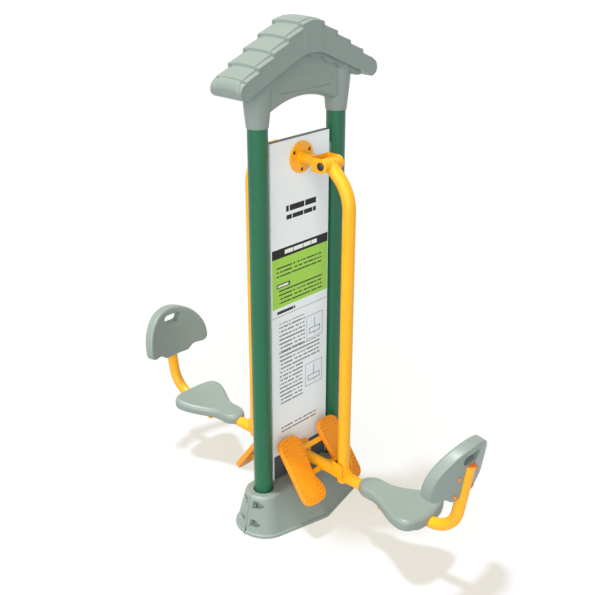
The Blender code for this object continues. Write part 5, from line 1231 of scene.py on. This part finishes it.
def make_all():
    """Finishes first, then the pieces from the ground up."""
    # powder coat on steel: thick, glossy, with a faint orange-peel ripple, drawn coarser than real
    green = finish_of("gloss_green_powder_coat", POST_GREEN, 0.34, 3.2, 0.030, 0.05, 220.0)
    yellow = finish_of("gloss_yellow_powder_coat", FRAME_YELLOW, 0.36, 3.2, 0.030, 0.03, 140.0)
    # enamelled bolt heads and plugs: the same, in the darker orange
    bolt_orange = finish_of("orange_bolt_enamel", CAP_ORANGE, 0.38, 2.5, 0.02, 0.04, 20.0)
    # injection moulded nylon footrests: even colour, soft sheen, fine spark-eroded grain
    orange = finish_of("orange_moulded_nylon", PEDAL_ORANGE, 0.46, 1.6, 0.05, 0.03, 70.0)
    # the same nylon, dark on the studs: painted shade of small grip recesses
    stud_shade_orange = finish_of("worn_orange_nylon_studs", "8A4308", 0.55, 1.6, 0.05, 0.1, 8.0)
    # rotationally moulded polyethylene: chalky grey-green, slightly mottled, with a pitted skin
    grey = finish_of("grey_rotomoulded_polyethylene", HOUSING_GREY, 0.40, 1.8, 0.05, 0.035,
                     90.0)
    # zinc plate: bright, cool and slightly cloudy
    zinc = finish_of("bright_zinc_plate", "979B9E", 0.42, 1.5, 0.02, 0.08, 6.0, Metallic=1.0)
    # black oxide on screws: near black, oily sheen
    black_oxide = finish_of("black_oxide_steel", "4A2F18", 0.42, 1.2, 0.02, 0.1, 5.0, Metallic=0.7)
    # hot-dip galvanising: matt grey with broad spangles
    galvanised = finish_of("hot_dip_galvanising", "9EA3A6", 0.48, 4.0, 0.05, 0.18, 12.0, Metallic=1.0)
    # ground bearing rings
    ground = finish_of("ground_bearing_steel", "C8CACC", 0.2, 1.0, 0.004, 0.03, 10.0, Metallic=1.0)
    # polypropylene caps: black, smooth
    cap = finish_of("black_polypropylene", "1D2024", 0.36, 1.4, 0.02, 0.1, 10.0)
    # moulded rubber: dull black
    rubber = finish_of("moulded_black_rubber", "222222", 0.8, 1.2, 0.06, 0.12, 12.0)
    boards = {"front": board_finish("front_board_print", 1.0), "rear": board_finish("rear_board_print", -1.0)}

    make_posts(green)
    make_base_cover(grey)
    make_board(boards)
    make_hanger(yellow)
    make_pivot_caps(cap)
    make_flange_screws(black_oxide)
    make_swing_arm(yellow, bolt_orange)
    make_seat(grey)
    make_backrest(grey, bolt_orange)
    make_pedals(orange, stud_shade_orange)
    make_footrest_frame(yellow, black_oxide)
    make_bumper(rubber)
    make_roof(grey)
    make_small_screws(zinc)
    kept = {"base_plate": galvanised, "cross_beam": galvanised, "pivot_bolt": zinc, "bearing": ground}
    for name, node in frame["nodes"].items():
        for ending, finish in kept.items():
            if name.endswith(ending):
                node.data.materials.clear()
                node.data.materials.append(finish)


def make_floor():
    """Studio paper that is white where it is lit and pale beige in the shade, as in the photograph.

    Part of its whiteness is its own glow, so that a shadow takes only the lit
    part away; other rays than the camera's and mirror rays see half the glow.
    """
    reach = 30.0
    mesh = bpy.data.meshes.new("studio_floor")
    mesh.from_pydata([(-reach, -reach, 0), (reach, -reach, 0), (reach, reach, 0), (-reach, reach, 0)], [],
                     [(0, 1, 2, 3)])
    floor = linked("studio_floor", mesh)
    floor.location.z = -0.0005
    mat, tree, shader = new_material("glowing_studio_paper")
    shader.inputs["Base Color"].default_value = (*FLOOR_LIT, 1.0)
    shader.inputs["Roughness"].default_value = 1.0
    shader.inputs["Specular IOR Level"].default_value = 0.0
    shader.inputs["Emission Color"].default_value = (*FLOOR_GLOW, 1.0)
    glow = add(tree, "ShaderNodeMapRange", {"Value": seen_directly(tree), "To Min": 0.5, "To Max": 1.0})
    tree.links.new(glow.outputs[0], shader.inputs["Emission Strength"])
    mesh.materials.append(mat)


def seen_directly(tree):
    """One for the camera's rays and mirror rays, nought for light bouncing about."""
    path = add(tree, "ShaderNodeLightPath")
    return maths(tree, "MAXIMUM", path.outputs["Is Camera Ray"], path.outputs["Is Glossy Ray"])


def aim(holder, direction):
    """Turn a lamp or camera along a direction."""
    holder.rotation_mode = "QUATERNION"
    holder.rotation_quaternion = Vector(direction).to_track_quat("-Z", "Y")


def sun(name, strength, spread, colour, direction):
    """A distant lamp shining along a direction."""
    lamp = bpy.data.lights.new(name, "SUN")
    lamp.energy, lamp.angle, lamp.color = strength * pi, radians(spread), colour
    aim(linked(name, lamp), direction)


def make_stage():
    """Floor, even sky, a high key lamp, a broad lamp from the near end, and the photograph's camera."""
    scene = bpy.context.scene
    make_floor()
    world = bpy.data.worlds.new("studio")
    scene.world = world
    world.use_nodes = True
    tree = world.node_tree
    sky = add(tree, "ShaderNodeMapRange", {"Value": seen_directly(tree), "To Min": 0.30, "To Max": 1.0})
    tree.nodes["Background"].inputs["Color"].default_value = (1.0, 1.0, 1.0, 1.0)
    tree.links.new(sky.outputs[0], tree.nodes["Background"].inputs["Strength"])
    sun("key", 0.95, 6.0, (1.0, 0.98, 0.95), (0.156, -0.163, -1.0))
    sun("near_end_fill", 1.02, 80.0, (1.0, 1.0, 1.0), (0.90, 0.46, -0.27))

    lens = bpy.data.cameras.new("photo_camera")
    lens.lens, lens.sensor_width = 58.07, 36.0
    camera = linked("photo_camera", lens)
    camera.location = (-3.024, -2.893, 3.015)
    aim(camera, (0.6604, 0.6327, -0.4045))
    scene.camera = camera
    scene.view_settings.view_transform = "Standard"


make_all()
make_stage()
